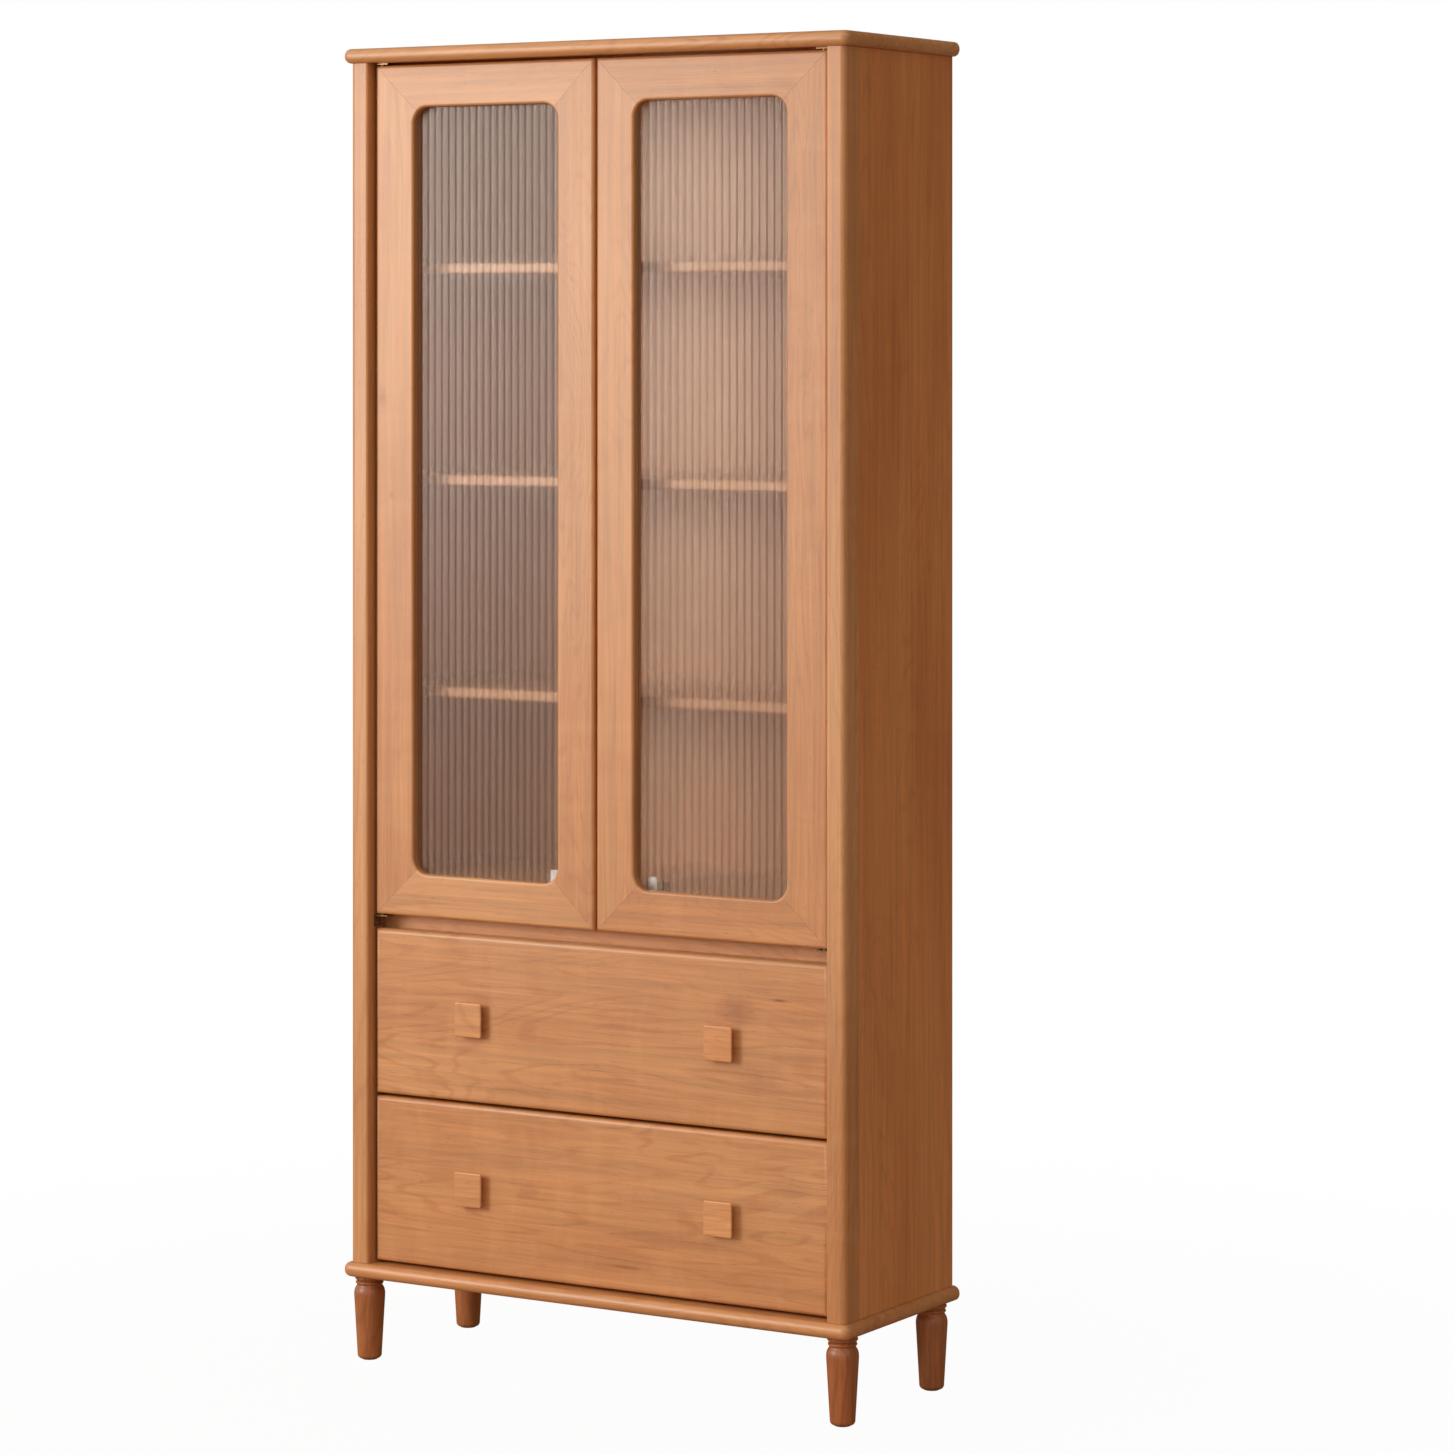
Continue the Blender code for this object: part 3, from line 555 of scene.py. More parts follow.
def geometry_tree(name, sockets):
    """An empty geometry tree with its named inputs. Returns the tree, its inputs and its end."""
    tree = bpy.data.node_groups.new(name, "GeometryNodeTree")
    tree.interface.new_socket("Geometry", in_out="INPUT", socket_type="NodeSocketGeometry")
    for title, kind in sockets:
        tree.interface.new_socket(title, in_out="INPUT", socket_type=f"NodeSocket{kind}")
    tree.interface.new_socket("Geometry", in_out="OUTPUT", socket_type="NodeSocketGeometry")
    given = tree.nodes.new("NodeGroupInput").outputs
    end = tree.nodes.new("NodeGroupOutput").inputs["Geometry"]
    return tree, given, end


def set_out(tree, given, end, shape):
    """Ends a tree: the shape is copied to each point, turned, made real and given its material."""
    placing = {"Points": given["Geometry"], "Instance": shape, "Rotation": given["Turn"]}
    placed = add_node(tree, "GeometryNodeInstanceOnPoints", placing).outputs[0]
    real = add_node(tree, "GeometryNodeRealizeInstances", {"Geometry": placed}).outputs[0]
    painting = {"Geometry": real, "Material": given["Material"]}
    painted = add_node(tree, "GeometryNodeSetMaterial", painting)
    tree.links.new(painted.outputs[0], end)


def grown(name, tree, values, points=(), smooth_under=40.0):
    """Runs a geometry tree on loose points and keeps the result as a plain mesh."""
    mesh = bpy.data.meshes.new(name)
    mesh.from_pydata([tuple(point) for point in points], [], [])
    piece = bpy.data.objects.new(name, mesh)
    bpy.context.scene.collection.objects.link(piece)
    modifier = piece.modifiers.new("growth", "NODES")
    modifier.node_group = tree
    for item in tree.interface.items_tree:
        if item.in_out == "INPUT" and item.name in values:
            modifier[item.identifier] = values[item.name]
    settle(piece)
    piece.data.shade_smooth()
    piece.data.set_sharp_from_angle(angle=math.radians(smooth_under))
    return piece


# A shelf pin: a collar against the side panel and a smooth stem under the shelf.
PIN_STEM_RADIUS = 0.0024
PIN_LENGTH = 0.009
PIN_COLLAR_RADIUS = 0.0042
PIN_COLLAR_THICK = 0.0014
PIN_SIDES = 20
PIN_FROM_EDGE = 0.035

pin_sockets = [("Stem Radius", "Float"), ("Stem Length", "Float"), ("Collar Radius", "Float")]
pin_sockets += [("Turn", "Vector"), ("Material", "Material")]
pin_tree, pin_given, pin_end = geometry_tree("shelf_pins", pin_sockets)
whole_pin = pin_tree.nodes.new("GeometryNodeJoinGeometry")
for radius, depth in (
    (pin_given["Stem Radius"], pin_given["Stem Length"]),
    (pin_given["Collar Radius"], PIN_COLLAR_THICK),
):
    round_bar = {"Vertices": PIN_SIDES, "Radius": radius, "Depth": depth}
    bar = add_node(pin_tree, "GeometryNodeMeshCylinder", round_bar).outputs["Mesh"]
    outward = add_node(pin_tree, "ShaderNodeCombineXYZ", {"Z": maths(pin_tree, "MULTIPLY", depth, 0.5)})
    moved = {"Geometry": bar, "Translation": outward.outputs[0]}
    moved_bar = add_node(pin_tree, "GeometryNodeTransform", moved)
    pin_tree.links.new(moved_bar.outputs[0], whole_pin.inputs[0])
set_out(pin_tree, pin_given, pin_end, whole_pin.outputs[0])

side_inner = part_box("right_side_panel")[0].x
for name, side in (("left", -1), ("right", 1)):
    spots = []
    for shelf in ("lower_shelf", "middle_shelf", "upper_shelf"):
        low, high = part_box(shelf)
        for y in (low.y + PIN_FROM_EDGE, high.y - PIN_FROM_EDGE):
            spots.append((side * side_inner, y, low.z - PIN_STEM_RADIUS))
    values = {"Stem Radius": PIN_STEM_RADIUS, "Stem Length": PIN_LENGTH}
    values |= {"Collar Radius": PIN_COLLAR_RADIUS, "Material": steel}
    values["Turn"] = (0.0, -side * math.pi / 2, 0.0)
    pins = grown(f"{name}_shelf_pins", pin_tree, values, spots)
    fit(pins, "carcass", "zinc_steel")


# The door frames: four cherry members a door, mitred at the corners and rounded along
# their front edges. The rounded opening is rebated behind for the glass, and each pivot's
# bush sits in a hole bored through a mitre joint.

FRAME_OUTER_ROUND = 0.0052
FRAME_INNER_ROUND = 0.0042
OPENING_RADIUS = 0.025
REBATE = 0.009
GLASS_SETBACK = 0.0127
MITRE_GAP = 0.00022
BORE_CLEARANCE = 0.0002
SLIVER = 0.00002
BLANK_WELD = 0.000002
FLAT_WITHIN = 0.01
SAW_TOLERANCE = 0.0000001
PANE_PLAY = 0.0005
BORE_PAST = 0.002
FRAME_FIGURE = {"rings": 0.28, "streaks": 0.25, "ripple": 0.34}


def rounded_outline(left, right, low, high, radius, steps=10):
    centres = [(left + radius, low + radius), (right - radius, low + radius)]
    centres += [(right - radius, high - radius), (left + radius, high - radius)]
    points = []
    for quarter, centre in enumerate(centres):
        points += arc_points(centre, radius, 180 + 90 * quarter, 270 + 90 * quarter, steps)
    return points


def flat_frame(outside, opening, near, far):
    """A flat outline with an opening in it, as thick as the door."""
    curve = bpy.data.curves.new("frame_outline", "CURVE")
    curve.dimensions = "2D"
    curve.fill_mode = "BOTH"
    curve.extrude = (far - near) / 2
    for outline in (outside, opening):
        spline = curve.splines.new("POLY")
        spline.points.add(len(outline) - 1)
        spline.use_cyclic_u = True
        for point, (x, z) in zip(spline.points, outline):
            point.co = (x, z, 0.0, 1.0)
    flat = bpy.data.objects.new("frame_outline", curve)
    bpy.context.scene.collection.objects.link(flat)
    graph = bpy.context.evaluated_depsgraph_get()
    mesh = bpy.data.meshes.new_from_object(flat.evaluated_get(graph))
    bpy.data.objects.remove(flat, do_unlink=True)
    bm = bmesh.new()
    bm.from_mesh(mesh)
    bmesh.ops.remove_doubles(bm, verts=bm.verts, dist=BLANK_WELD)
    bmesh.ops.dissolve_limit(bm, angle_limit=FLAT_WITHIN, verts=bm.verts, edges=bm.edges)
    bmesh.ops.rotate(bm, matrix=Matrix.Rotation(math.pi / 2, 3, "X"), verts=bm.verts)
    bmesh.ops.translate(bm, vec=(0.0, (near + far) / 2, 0.0), verts=bm.verts)
    return bm


def mitred_part(blank, start, end, opposite):
    """What is left of the frame between the mitres at two corners, given as (outer, inner)."""
    bm = blank.copy()
    middle = (Vector(start[0]) + Vector(end[0])) / 2
    cuts = []
    for outer, inner in (start, end):
        line = Vector(inner) - Vector(outer)
        normal = Vector((-line.y, line.x)).normalized()
        if normal.dot(middle - Vector(outer)) > 0:
            normal = -normal
        cuts.append((Vector(outer) - normal * MITRE_GAP / 2, normal))
    cuts.append(((middle + Vector(opposite)) / 2, (Vector(opposite) - middle).normalized()))
    for place, normal in cuts:
        bmesh.ops.bisect_plane(
            bm,
            geom=list(bm.verts) + list(bm.edges) + list(bm.faces),
            dist=SAW_TOLERANCE,
            plane_co=(place.x, 0.0, place.y),
            plane_no=(normal.x, 0.0, normal.y),
            clear_outer=True,
        )
        rim = [edge for edge in bm.edges if edge.is_boundary]
        bmesh.ops.holes_fill(bm, edges=rim, sides=0)
    bmesh.ops.remove_doubles(bm, verts=bm.verts, dist=SLIVER)
    bmesh.ops.dissolve_degenerate(bm, dist=SLIVER, edges=bm.edges)
    return bm


def scratch_object(name, bm):
    bm.normal_update()
    bmesh.ops.recalc_face_normals(bm, faces=bm.faces)
    mesh = bpy.data.meshes.new(name)
    bm.to_mesh(mesh)
    bm.free()
    cutter = bpy.data.objects.new(name, mesh)
    bpy.context.scene.collection.objects.link(cutter)
    return cutter


def rebated(blank, low, high):
    """The frame with a square rebate cut behind its opening."""
    frame_piece = scratch_object("frame_blank", blank)
    rebate = scratch_object("rebate", block_between(low, high))
    cut_by(frame_piece, [rebate])
    bm = bmesh.new()
    bm.from_mesh(frame_piece.data)
    bpy.data.objects.remove(frame_piece, do_unlink=True)
    bpy.data.objects.remove(rebate, do_unlink=True)
    return bm


# Two knots in the left door's hinge stile.
STILE_MARKS = (((-0.384, 1.47), (0.016, 0.034), 0.42), ((-0.368, 1.32), (0.008, 0.011), 0.4))

openings = {}
for name, side in (("left", -1), ("right", 1)):
    prefix = f"{name}_door"
    low = Vector(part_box(f"{prefix}_bottom_rail")[0])
    high = Vector(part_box(f"{prefix}_top_rail")[1])
    left = min(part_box(f"{prefix}_hinge_stile")[0].x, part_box(f"{prefix}_meeting_stile")[0].x)
    right = max(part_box(f"{prefix}_hinge_stile")[1].x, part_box(f"{prefix}_meeting_stile")[1].x)
    glass_low, glass_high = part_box(f"{prefix}_glass")
    inset = REBATE - PANE_PLAY
    opening = (glass_low.x + inset, glass_high.x - inset, glass_low.z + inset, glass_high.z - inset)
    openings[name] = opening
    inner_left, inner_right, inner_low, inner_high = opening
    outside = [(left, low.z), (right, low.z), (right, high.z), (left, high.z)]
    inside = [(inner_left, inner_low), (inner_right, inner_low)]
    inside += [(inner_right, inner_high), (inner_left, inner_high)]
    blank = flat_frame(outside, rounded_outline(*opening, OPENING_RADIUS), low.y, high.y)
    front_edges = [e for e in sharp_edges(blank) if max(v.co.y for v in e.verts) < low.y + ARRIS / 10]
    outer_edges = []
    inner_edges = []
    for edge in front_edges:
        middle = (edge.verts[0].co + edge.verts[1].co) / 2
        from_side = min(abs(middle.x - left), abs(middle.x - right))
        from_end = min(abs(middle.z - low.z), abs(middle.z - high.z))
        (outer_edges if min(from_side, from_end) < ARRIS else inner_edges).append(edge)
    round_over(blank, outer_edges, FRAME_OUTER_ROUND, 6)
    round_over(blank, inner_edges, FRAME_INNER_ROUND, 6)
    rebate_low = (inner_left - REBATE, low.y + GLASS_SETBACK, inner_low - REBATE)
    rebate_high = (inner_right + REBATE, high.y + REBATE, inner_high + REBATE)
    blank = rebated(blank, rebate_low, rebate_high)
    cutters = []
    for end, past in (("upper", BORE_PAST / 2), ("lower", -BORE_PAST / 2)):
        bush_low, bush_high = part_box(f"{prefix}_{end}_bush")
        bore_radius = (bush_high.x - bush_low.x) / 2 + BORE_CLEARANCE
        bore = bmesh.new()
        bmesh.ops.create_cone(
            bore,
            cap_ends=True,
            segments=40,
            radius1=bore_radius,
            radius2=bore_radius,
            depth=bush_high.z - bush_low.z + 2 * BORE_CLEARANCE + BORE_PAST,
        )
        middle = (bush_low + bush_high) / 2
        middle.z += past
        bmesh.ops.translate(bore, vec=middle, verts=bore.verts)
        cutters.append(scratch_object("bore", bore))
    corners = list(zip(outside, inside))
    stiles = ("hinge_stile", "meeting_stile") if side < 0 else ("meeting_stile", "hinge_stile")
    members = {"bottom_rail": (0, 1), stiles[1]: (1, 2), "top_rail": (2, 3), stiles[0]: (3, 0)}
    for number, (member, (start, end)) in enumerate(members.items()):
        opposite = (Vector(outside[(end + 1) % 4]) + Vector(outside[(end + 2) % 4])) / 2
        bm = mitred_part(blank, corners[start], corners[end], opposite)
        grain = "X" if member.endswith("rail") else "Z"
        shift = (0.83 * number + 1.9 * side, 0.41 * number, 0.7 * side)
        marks = STILE_MARKS if (side, member) == (-1, "hinge_stile") else ()
        wood = cherry(f"{prefix}_{member}_cherry", grain, shift, marks, **FRAME_FIGURE)
        piece = finished(f"{prefix}_{member}_board", bm, wood, cutters)
        fit(piece, prefix, "cherry", f"{prefix}_{member}")
    blank.free()
    for cutter in cutters:
        bpy.data.objects.remove(cutter, do_unlink=True)


# The reeded glass: a rolled clear pane in each door's rebate, flat behind and with upright
#  round reeds in front. A warm diffuse haze is mixed in as painted sheen, stronger on the crests
#  than in the furrows, standing in for the glints and reflections the reeds catch.

REED_PITCH = 0.0125
REED_DEPTH = 0.0014
STEPS_A_REED = 10
REED_CREASE_DEGREES = 25.0
GLASS_TINT = (0.97, 0.97, 0.965, 1.0)
GLASS_ROUGHNESS = 0.27
GLASS_BENDING = 1.33
GLASS_SHINE = 0.06
GLASS_SHADOW = (0.74, 0.72, 0.70, 1.0)
# Painted sheen: a warm diffuse layer in the glass, in place of the reeds' glints and reflections.
PAINTED_SHEEN_TINT = (0.86, 0.58, 0.42, 1.0)
PAINTED_SHEEN_IN_FURROW = 0.035
PAINTED_SHEEN_ON_CREST = 0.105

reeded_glass = bpy.data.materials.new("reeded_glass")
reeded_glass.use_nodes = True
glass_tree = reeded_glass.node_tree
glass_shader = glass_tree.nodes["Principled BSDF"]
glass_shader.inputs["Base Color"].default_value = GLASS_TINT
glass_shader.inputs["Roughness"].default_value = GLASS_ROUGHNESS
glass_shader.inputs["IOR"].default_value = GLASS_BENDING
glass_shader.inputs["Transmission Weight"].default_value = 1.0
glass_shader.inputs["Specular IOR Level"].default_value = GLASS_SHINE
reed_phase = add_node(glass_tree, "ShaderNodeAttribute", attribute_name="reed_phase").outputs["Fac"]
reed_turn = maths(glass_tree, "SINE", maths(glass_tree, "MULTIPLY", reed_phase, math.pi))
reed_crest = maths(glass_tree, "ABSOLUTE", reed_turn)
# The painted sheen's share follows each reed: least in the furrow, most on the crest.
painted_reed_sheen = remap(glass_tree, reed_crest, 0.45, 0.95, PAINTED_SHEEN_IN_FURROW, PAINTED_SHEEN_ON_CREST)
painted_glass_sheen = add_node(glass_tree, "ShaderNodeBsdfDiffuse", {"Color": PAINTED_SHEEN_TINT})
glass_body = add_node(glass_tree, "ShaderNodeMixShader", {0: painted_reed_sheen})
glass_tree.links.new(glass_shader.outputs[0], glass_body.inputs[1])
glass_tree.links.new(painted_glass_sheen.outputs[0], glass_body.inputs[2])
clear = add_node(glass_tree, "ShaderNodeBsdfTransparent", {"Color": GLASS_SHADOW})
glass_rays = add_node(glass_tree, "ShaderNodeLightPath").outputs
let_through = maths(glass_tree, "MAXIMUM", glass_rays["Is Shadow Ray"], glass_rays["Is Diffuse Ray"])
glass_mix = add_node(glass_tree, "ShaderNodeMixShader", {0: let_through})
glass_tree.links.new(glass_body.outputs[0], glass_mix.inputs[1])
glass_tree.links.new(clear.outputs[0], glass_mix.inputs[2])
glass_tree.links.new(glass_mix.outputs[0], glass_tree.nodes["Material Output"].inputs["Surface"])

pane_sockets = [("Width", "Float"), ("Height", "Float"), ("Thickness", "Float")]
pane_sockets += [("Reeds", "Int"), ("Reed Depth", "Float"), ("Centre", "Vector"), ("Material", "Material")]
pane_tree, pane_given, pane_end = geometry_tree("reeded_pane", pane_sockets)
columns = maths(pane_tree, "MULTIPLY", pane_given["Reeds"], STEPS_A_REED)
pane_size = add_node(
    pane_tree,
    "ShaderNodeCombineXYZ",
    {"X": pane_given["Width"], "Y": pane_given["Thickness"], "Z": pane_given["Height"]},
)
slab = add_node(
    pane_tree,
    "GeometryNodeMeshCube",
    {"Size": pane_size.outputs[0], "Vertices X": maths(pane_tree, "ADD", columns, 1.0), "Vertices Z": 2},
)
spot = add_node(pane_tree, "GeometryNodeInputPosition")
spot_parts = add_node(pane_tree, "ShaderNodeSeparateXYZ", {0: spot.outputs[0]})
across = maths(pane_tree, "DIVIDE", spot_parts.outputs["X"], pane_given["Width"])
turns = maths(pane_tree, "MULTIPLY", maths(pane_tree, "ADD", across, 0.5), pane_given["Reeds"])
wave = maths(pane_tree, "ABSOLUTE", maths(pane_tree, "SINE", maths(pane_tree, "MULTIPLY", turns, math.pi)))
dip = maths(pane_tree, "MULTIPLY", maths(pane_tree, "SUBTRACT", 1.0, wave), pane_given["Reed Depth"])
dip_shift = add_node(pane_tree, "ShaderNodeCombineXYZ", {"Y": dip})
at_front = maths(pane_tree, "LESS_THAN", spot_parts.outputs["Y"], 0.0)
reeded = add_node(
    pane_tree,
    "GeometryNodeSetPosition",
    {"Geometry": slab.outputs["Mesh"], "Selection": at_front, "Offset": dip_shift.outputs[0]},
)
phased = add_node(
    pane_tree,
    "GeometryNodeStoreNamedAttribute",
    {"Geometry": reeded.outputs[0], "Name": "reed_phase", "Value": turns},
    data_type="FLOAT",
    domain="POINT",
)
placing = {"Geometry": phased.outputs[0], "Translation": pane_given["Centre"]}
pane_placed = add_node(pane_tree, "GeometryNodeTransform", placing).outputs[0]
pane_real = add_node(pane_tree, "GeometryNodeRealizeInstances", {"Geometry": pane_placed}).outputs[0]
painting = {"Geometry": pane_real, "Material": pane_given["Material"]}
pane_painted = add_node(pane_tree, "GeometryNodeSetMaterial", painting)
pane_tree.links.new(pane_painted.outputs[0], pane_end)

for name in ("left", "right"):
    low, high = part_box(f"{name}_door_glass")
    size = high - low
    values = {"Width": size.x, "Height": size.z, "Thickness": size.y, "Reed Depth": REED_DEPTH}
    values |= {"Reeds": round(size.x / REED_PITCH), "Centre": (low + high) / 2, "Material": reeded_glass}
    pane = grown(f"{name}_reeded_pane", pane_tree, values, smooth_under=REED_CREASE_DEGREES)
    fit(pane, f"{name}_door", "reeded_glass", f"{name}_door_glass")


# The glazing beads: slim cherry strips pinned in the rebate behind the glass. The upright
# ones only get their wood, and the short ones that fit between them are made here.

BEAD_JOINT = 0.0003
BEAD_FIGURE = {"rings": 0.2, "tone": 0.95}

for name, side in (("left", -1), ("right", 1)):
    inner_left, inner_right, inner_low, inner_high = openings[name]
    wood = cherry(f"{name}_bead_cherry", "Z", (0.2, 1.4 * side, 0.3), **BEAD_FIGURE)
    for bead in ("left", "right"):
        repaint(f"{name}_door_{bead}_glazing_bead", wood)
    bead_low, bead_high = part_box(f"{name}_door_left_glazing_bead")
    short_wood = cherry(f"{name}_short_bead_cherry", "X", (0.9, 0.4 * side, 1.3), **BEAD_FIGURE)
    bead_left, bead_right = inner_left + BEAD_JOINT, inner_right - BEAD_JOINT
    for end, z_low, z_high in (
        ("lower", bead_low.z, inner_low - BEAD_JOINT),
        ("upper", inner_high + BEAD_JOINT, bead_high.z),
    ):
        bm = block_between((bead_left, bead_low.y, z_low), (bead_right, bead_high.y, z_high))
        round_over(bm, sharp_edges(bm), ARRIS, 2)
        piece = finished(f"{name}_door_{end}_bead", bm, short_wood)
        fit(piece, f"{name}_door", "cherry")


# The ironmongery: brass pivot plates and bushes, and magnetic catches on the compartment's
# floor with a zinc-plated strike plate on each door. Screws with a cross recess hold them.

DARK_BRASS = (0.26, 0.165, 0.085, 1.0)
PLASTIC_DARK = (0.20, 0.10, 0.055, 1.0)
PLASTIC_LIGHT = (0.27, 0.145, 0.085, 1.0)
PLASTIC_GRAIN = (900.0, 900.0, 900.0)

brass = metal("dark_brass", DARK_BRASS, roughness=0.36)
catch_plastic = bpy.data.materials.new("catch_plastic")
catch_plastic.use_nodes = True
plastic_tree = catch_plastic.node_tree
plastic_shader = plastic_tree.nodes["Principled BSDF"]
plastic_places = add_node(plastic_tree, "ShaderNodeTexCoord").outputs["Object"]
plastic_grain = stretched_noise(plastic_tree, plastic_places, PLASTIC_GRAIN, 3.0, 0.6)
plastic_colour = mix_colours(plastic_tree, plastic_grain, PLASTIC_DARK, PLASTIC_LIGHT)
plastic_tree.links.new(plastic_colour, plastic_shader.inputs["Base Color"])
roughening = {"Strength": 0.2, "Distance": 0.0002, "Height": plastic_grain}
plastic_relief = add_node(plastic_tree, "ShaderNodeBump", roughening)
plastic_tree.links.new(plastic_relief.outputs[0], plastic_shader.inputs["Normal"])
plastic_shader.inputs["Roughness"].default_value = 0.5

for name in ("left", "right"):
    for end in ("upper", "lower"):
        repaint(f"{name}_{end}_pivot", brass)
        repaint(f"{name}_door_{end}_bush", brass)
    repaint(f"{name}_magnetic_catch", catch_plastic)
    repaint(f"{name}_door_strike_plate", steel)

# A screw's head: a low cone cut by two crossed bars, in shares of its radius and height.
HEAD_TOP = 0.72
HEAD_SIDES = 20
RECESS_LENGTH = 1.05
RECESS_WIDTH = 0.26
RECESS_DEPTH = 1.1
HEAD_CREASE_DEGREES = 30.0

screw_sockets = [("Radius", "Float"), ("Height", "Float"), ("Turn", "Vector"), ("Material", "Material")]
screw_tree, screw_given, screw_end = geometry_tree("screw_heads", screw_sockets)
cone = {"Vertices": HEAD_SIDES, "Radius Bottom": screw_given["Radius"], "Depth": screw_given["Height"]}
cone["Radius Top"] = maths(screw_tree, "MULTIPLY", screw_given["Radius"], HEAD_TOP)
recessed = add_node(screw_tree, "GeometryNodeMeshCone", cone).outputs["Mesh"]
recess_length = maths(screw_tree, "MULTIPLY", screw_given["Radius"], RECESS_LENGTH)
recess_width = maths(screw_tree, "MULTIPLY", screw_given["Radius"], RECESS_WIDTH)
recess_depth = maths(screw_tree, "MULTIPLY", screw_given["Height"], RECESS_DEPTH)
lift = add_node(screw_tree, "ShaderNodeCombineXYZ", {"Z": screw_given["Height"]}).outputs[0]
for length, width in ((recess_length, recess_width), (recess_width, recess_length)):
    size = add_node(screw_tree, "ShaderNodeCombineXYZ", {"X": length, "Y": width, "Z": recess_depth})
    bar = add_node(screw_tree, "GeometryNodeMeshCube", {"Size": size.outputs[0]}).outputs["Mesh"]
    raised = add_node(screw_tree, "GeometryNodeTransform", {"Geometry": bar, "Translation": lift})
    cut_head = add_node(
        screw_tree, "GeometryNodeMeshBoolean", {0: recessed}, operation="DIFFERENCE", solver="EXACT"
    )
    screw_tree.links.new(raised.outputs[0], cut_head.inputs[1])
    recessed = cut_head.outputs["Mesh"]
set_out(screw_tree, screw_given, screw_end, recessed)

# The turn that points a screw's head each way.
FACING = {
    "+X": (0.0, math.pi / 2, 0.0),
    "-X": (0.0, -math.pi / 2, 0.0),
    "+Y": (-math.pi / 2, 0.0, 0.0),
    "+Z": (0.0, 0.0, 0.0),
}


def screws(name, body, spots, facing, size, material, slot):
    radius, height = size
    values = {"Radius": radius, "Height": height, "Turn": FACING[facing], "Material": material}
    return fit(grown(name, screw_tree, values, spots, HEAD_CREASE_DEGREES), body, slot)


# Each screw's radius and the height of its head, and where it stands on its own piece.
PIVOT_SCREW = (0.0024, 0.0009)
STRIKE_SCREW = (0.0028, 0.0006)
CATCH_SCREW = (0.0026, 0.0008)
EAR_THICK = 0.0022
EAR_MIDDLE_BACK = 0.002
EAR_SCREW_REACH = 0.0045
EAR_SCREW_RISE = 0.0055
STRIKE_SCREW_INSET = 0.006
CATCH_SCREW_INSET = 0.005

for name, side in (("left", -1), ("right", 1)):
    low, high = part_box(f"{name}_lower_pivot")
    ear_face = side * (max(abs(low.x), abs(high.x)) - EAR_THICK)
    ear_y = (low.y + high.y) / 2 + EAR_MIDDLE_BACK
    ear_z = low.z + EAR_SCREW_RISE
    spots = [(ear_face, ear_y - EAR_SCREW_REACH, ear_z), (ear_face, ear_y + EAR_SCREW_REACH, ear_z)]
    inward = "-X" if side > 0 else "+X"
    screws(f"{name}_pivot_screws", "carcass", spots, inward, PIVOT_SCREW, brass, "pivot_brass")
    low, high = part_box(f"{name}_door_strike_plate")
    plate_x = (low.x + high.x) / 2
    spots = [(plate_x, high.y, low.z + STRIKE_SCREW_INSET), (plate_x, high.y, high.z - STRIKE_SCREW_INSET)]
    screws(f"{name}_strike_screws", f"{name}_door", spots, "+Y", STRIKE_SCREW, steel, "zinc_steel")
    low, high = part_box(f"{name}_magnetic_catch")
    catch_y = high.y - CATCH_SCREW_INSET
    spots = [(low.x + CATCH_SCREW_INSET, catch_y, high.z), (high.x - CATCH_SCREW_INSET, catch_y, high.z)]
    screws(f"{name}_catch_screws", "carcass", spots, "+Z", CATCH_SCREW, steel, "zinc_steel")


# The drawers: cherry fronts with a rounded rim and two square knobs that narrow behind,
# screwed to boxes of pale beech with a thin plywood bottom. Each box runs on beech runners
# that lie in a groove along its sides.

FRONT_ROUND = 0.0072
FRONT_FIGURE = {"rings": 0.40, "ripple": 0.42, "streaks": 0.75}
KNOB_ROUND = 0.0035
KNOB_TAPER = 0.72
# Painted light: the right-hand knobs' cherry gets a stronger tone than the left-hand ones', standing in
# for the brighter sheen on the right of the drawer fronts.
KNOB_TONES_WITH_PAINTED_LIGHT = {"left": 1.04, "right": 1.20}
BOX_SCREW = (0.003, 0.0007)
BOX_SCREW_INSET = 0.03
BEECH = ((0.63, 0.44, 0.265, 1.0), (0.53, 0.34, 0.19, 1.0))
PLYWOOD = ((0.58, 0.41, 0.25, 1.0), (0.47, 0.31, 0.17, 1.0))
PALE_BANDS = (1.2, 38.0, 38.0)
PALE_FLECKS = (110.0, 700.0, 700.0)
PALE_FLECK_STRENGTH = 0.35
PALE_FLECK_SHADE = 0.6


def plain_wood(name, grain, shift, colours, roughness):
    """Pale, straight-grained wood, lightly sealed, in a light and a dark colour."""
    light, dark = colours
    material = bpy.data.materials.new(name)
    material.use_nodes = True
    tree = material.node_tree
    shader = tree.nodes["Principled BSDF"]
    places = add_node(tree, "ShaderNodeTexCoord").outputs["Object"]
    placing = {"Vector": places, "Rotation": GRAIN_TURNS[grain], "Location": shift}
    placed = add_node(tree, "ShaderNodeMapping", placing).outputs[0]
    bands = stretched_noise(tree, placed, PALE_BANDS, 3.0, 0.55, 0.4)
    flecks = remap(tree, stretched_noise(tree, placed, PALE_FLECKS, 1.0), 0.62, 0.72)
    fleck_share = maths(tree, "MULTIPLY", flecks, PALE_FLECK_STRENGTH)
    fleck_brown = [PALE_FLECK_SHADE * c for c in dark[:3]] + [1.0]
    colour = mix_colours(tree, remap(tree, bands, 0.3, 0.7), light, dark)
    marked = mix_colours(tree, fleck_share, colour, fleck_brown)
    relief = add_node(tree, "ShaderNodeBump", {"Strength": 0.15, "Distance": 0.0003, "Height": bands})
    tree.links.new(marked, shader.inputs["Base Color"])
    tree.links.new(relief.outputs[0], shader.inputs["Normal"])
    shader.inputs["Roughness"].default_value = roughness
    return material


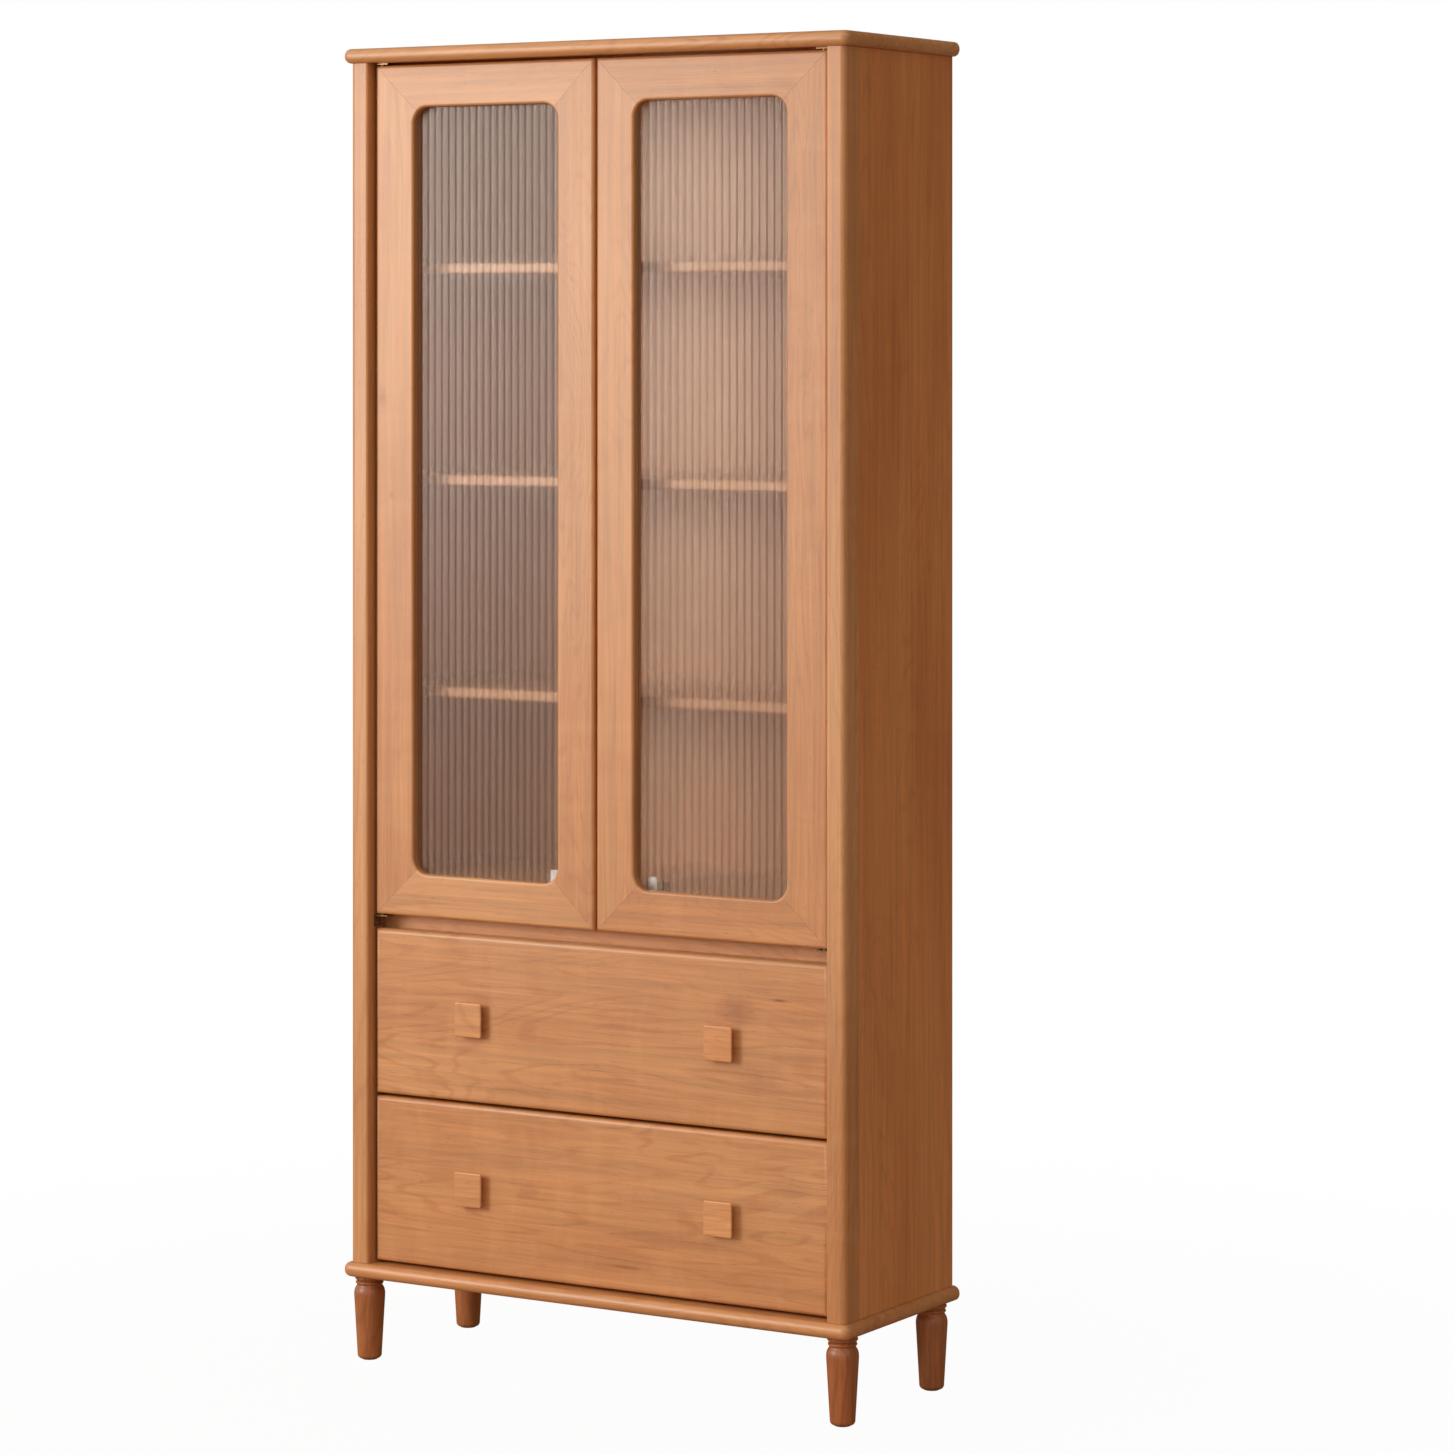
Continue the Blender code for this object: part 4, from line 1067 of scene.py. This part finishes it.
# Knots and dark streaks of their own in the two fronts.
FRONT_MARKS = {
    "upper": (
        ((0.245, 0.585), (0.055, 0.040), 0.46),
        ((0.285, 0.485), (0.070, 0.045), 0.30),
        ((0.318, 0.603), (0.034, 0.0035), 0.9),
    ),
    "lower": (((0.330, 0.330), (0.060, 0.040), 0.22), ((0.06, 0.19), (0.075, 0.0045), 0.6)),
}

for level, name in enumerate(("lower", "upper")):
    prefix = f"{name}_drawer"
    bm = block_between(*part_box(f"{prefix}_front"))
    front_rim = edges_at(bm, (0, -1, 1), (0, -1, -1), (1, -1, 0), (-1, -1, 0))
    round_over(bm, front_rim, FRONT_ROUND, 8)
    shift = (0.35 + 2.6 * level, 0.9 * level, 0.12)
    wood = cherry(f"{prefix}_front_cherry", "X", shift, FRONT_MARKS[name], **FRONT_FIGURE)
    fit(finished(f"{prefix}_front_board", bm, wood), prefix, "cherry", f"{prefix}_front")
    for side, sign in (("left", -1), ("right", 1)):
        node = f"{prefix}_{side}_knob"
        low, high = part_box(node)
        bm = block_between(low, high)
        middle = (low + high) / 2
        for vert in bm.verts:
            if vert.co.y > middle.y:
                vert.co.x = middle.x + KNOB_TAPER * (vert.co.x - middle.x)
                vert.co.z = middle.z + KNOB_TAPER * (vert.co.z - middle.z)
        slants = [e for e in bm.edges if abs(e.verts[0].co.y - e.verts[1].co.y) > ARRIS]
        face_rim = [e for e in bm.edges if max(v.co.y for v in e.verts) < middle.y]
        round_over(bm, slants + face_rim, KNOB_ROUND, 5)
        shift = (0.6 * sign, 1.7 * level, 0.5)
        wood = cherry(f"{node}_cherry", "X", shift, rings=0.35, tone=KNOB_TONES_WITH_PAINTED_LIGHT[side])
        fit(finished(f"{node}_block", bm, wood), prefix, "cherry", node)
        wood = plain_wood(f"{prefix}_{side}_beech", "Y", (sign, level, 0.2), BEECH, 0.5)
        repaint(f"{prefix}_{side}_side", wood)
        wood = plain_wood(f"{prefix}_{side}_runner_beech", "Y", (level, sign, 0.6), BEECH, 0.45)
        repaint(f"{prefix}_{side}_runner", wood)
    wood = plain_wood(f"{prefix}_back_beech", "X", (0.4, level, 0.3), BEECH, 0.5)
    repaint(f"{prefix}_back", wood)
    wood = plain_wood(f"{prefix}_bottom_ply", "X", (0.1, 0.5, level), PLYWOOD, 0.6)
    repaint(f"{prefix}_bottom", wood)
    low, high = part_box(f"{prefix}_back")
    heights = (low.z + BOX_SCREW_INSET, (low.z + high.z) / 2, high.z - BOX_SCREW_INSET)
    for side, outward, end in (("left", "-X", 0), ("right", "+X", 1)):
        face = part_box(f"{prefix}_{side}_side")[end].x
        spots = [(face, (low.y + high.y) / 2, z) for z in heights]
        screws(f"{prefix}_{side}_screws", prefix, spots, outward, BOX_SCREW, steel, "zinc_steel")


# The back panel's screws: zinc-plated steel, with a column near each side edge, a row near
# the top and the bottom, and one row into the floor of the glazed compartment.

BACK_SCREW = (0.0035, 0.0012)
BACK_SCREW_INSET = 0.012
BACK_SCREW_ROWS = 9
BACK_SCREW_COLUMNS = (-0.2, 0.0, 0.2)

low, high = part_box("back_panel")
floor_low, floor_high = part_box("middle_panel")
lowest, highest = low.z + BACK_SCREW_INSET, high.z - BACK_SCREW_INSET
spots = []
for row in range(BACK_SCREW_ROWS):
    z = lowest + (high.z - low.z - 2 * BACK_SCREW_INSET) * row / (BACK_SCREW_ROWS - 1)
    spots += [(low.x + BACK_SCREW_INSET, high.y, z), (high.x - BACK_SCREW_INSET, high.y, z)]
for column in BACK_SCREW_COLUMNS:
    spots += [(column, high.y, z) for z in (lowest, highest, (floor_low.z + floor_high.z) / 2)]
screws("back_panel_screws", "carcass", spots, "+Y", BACK_SCREW, steel, "zinc_steel")
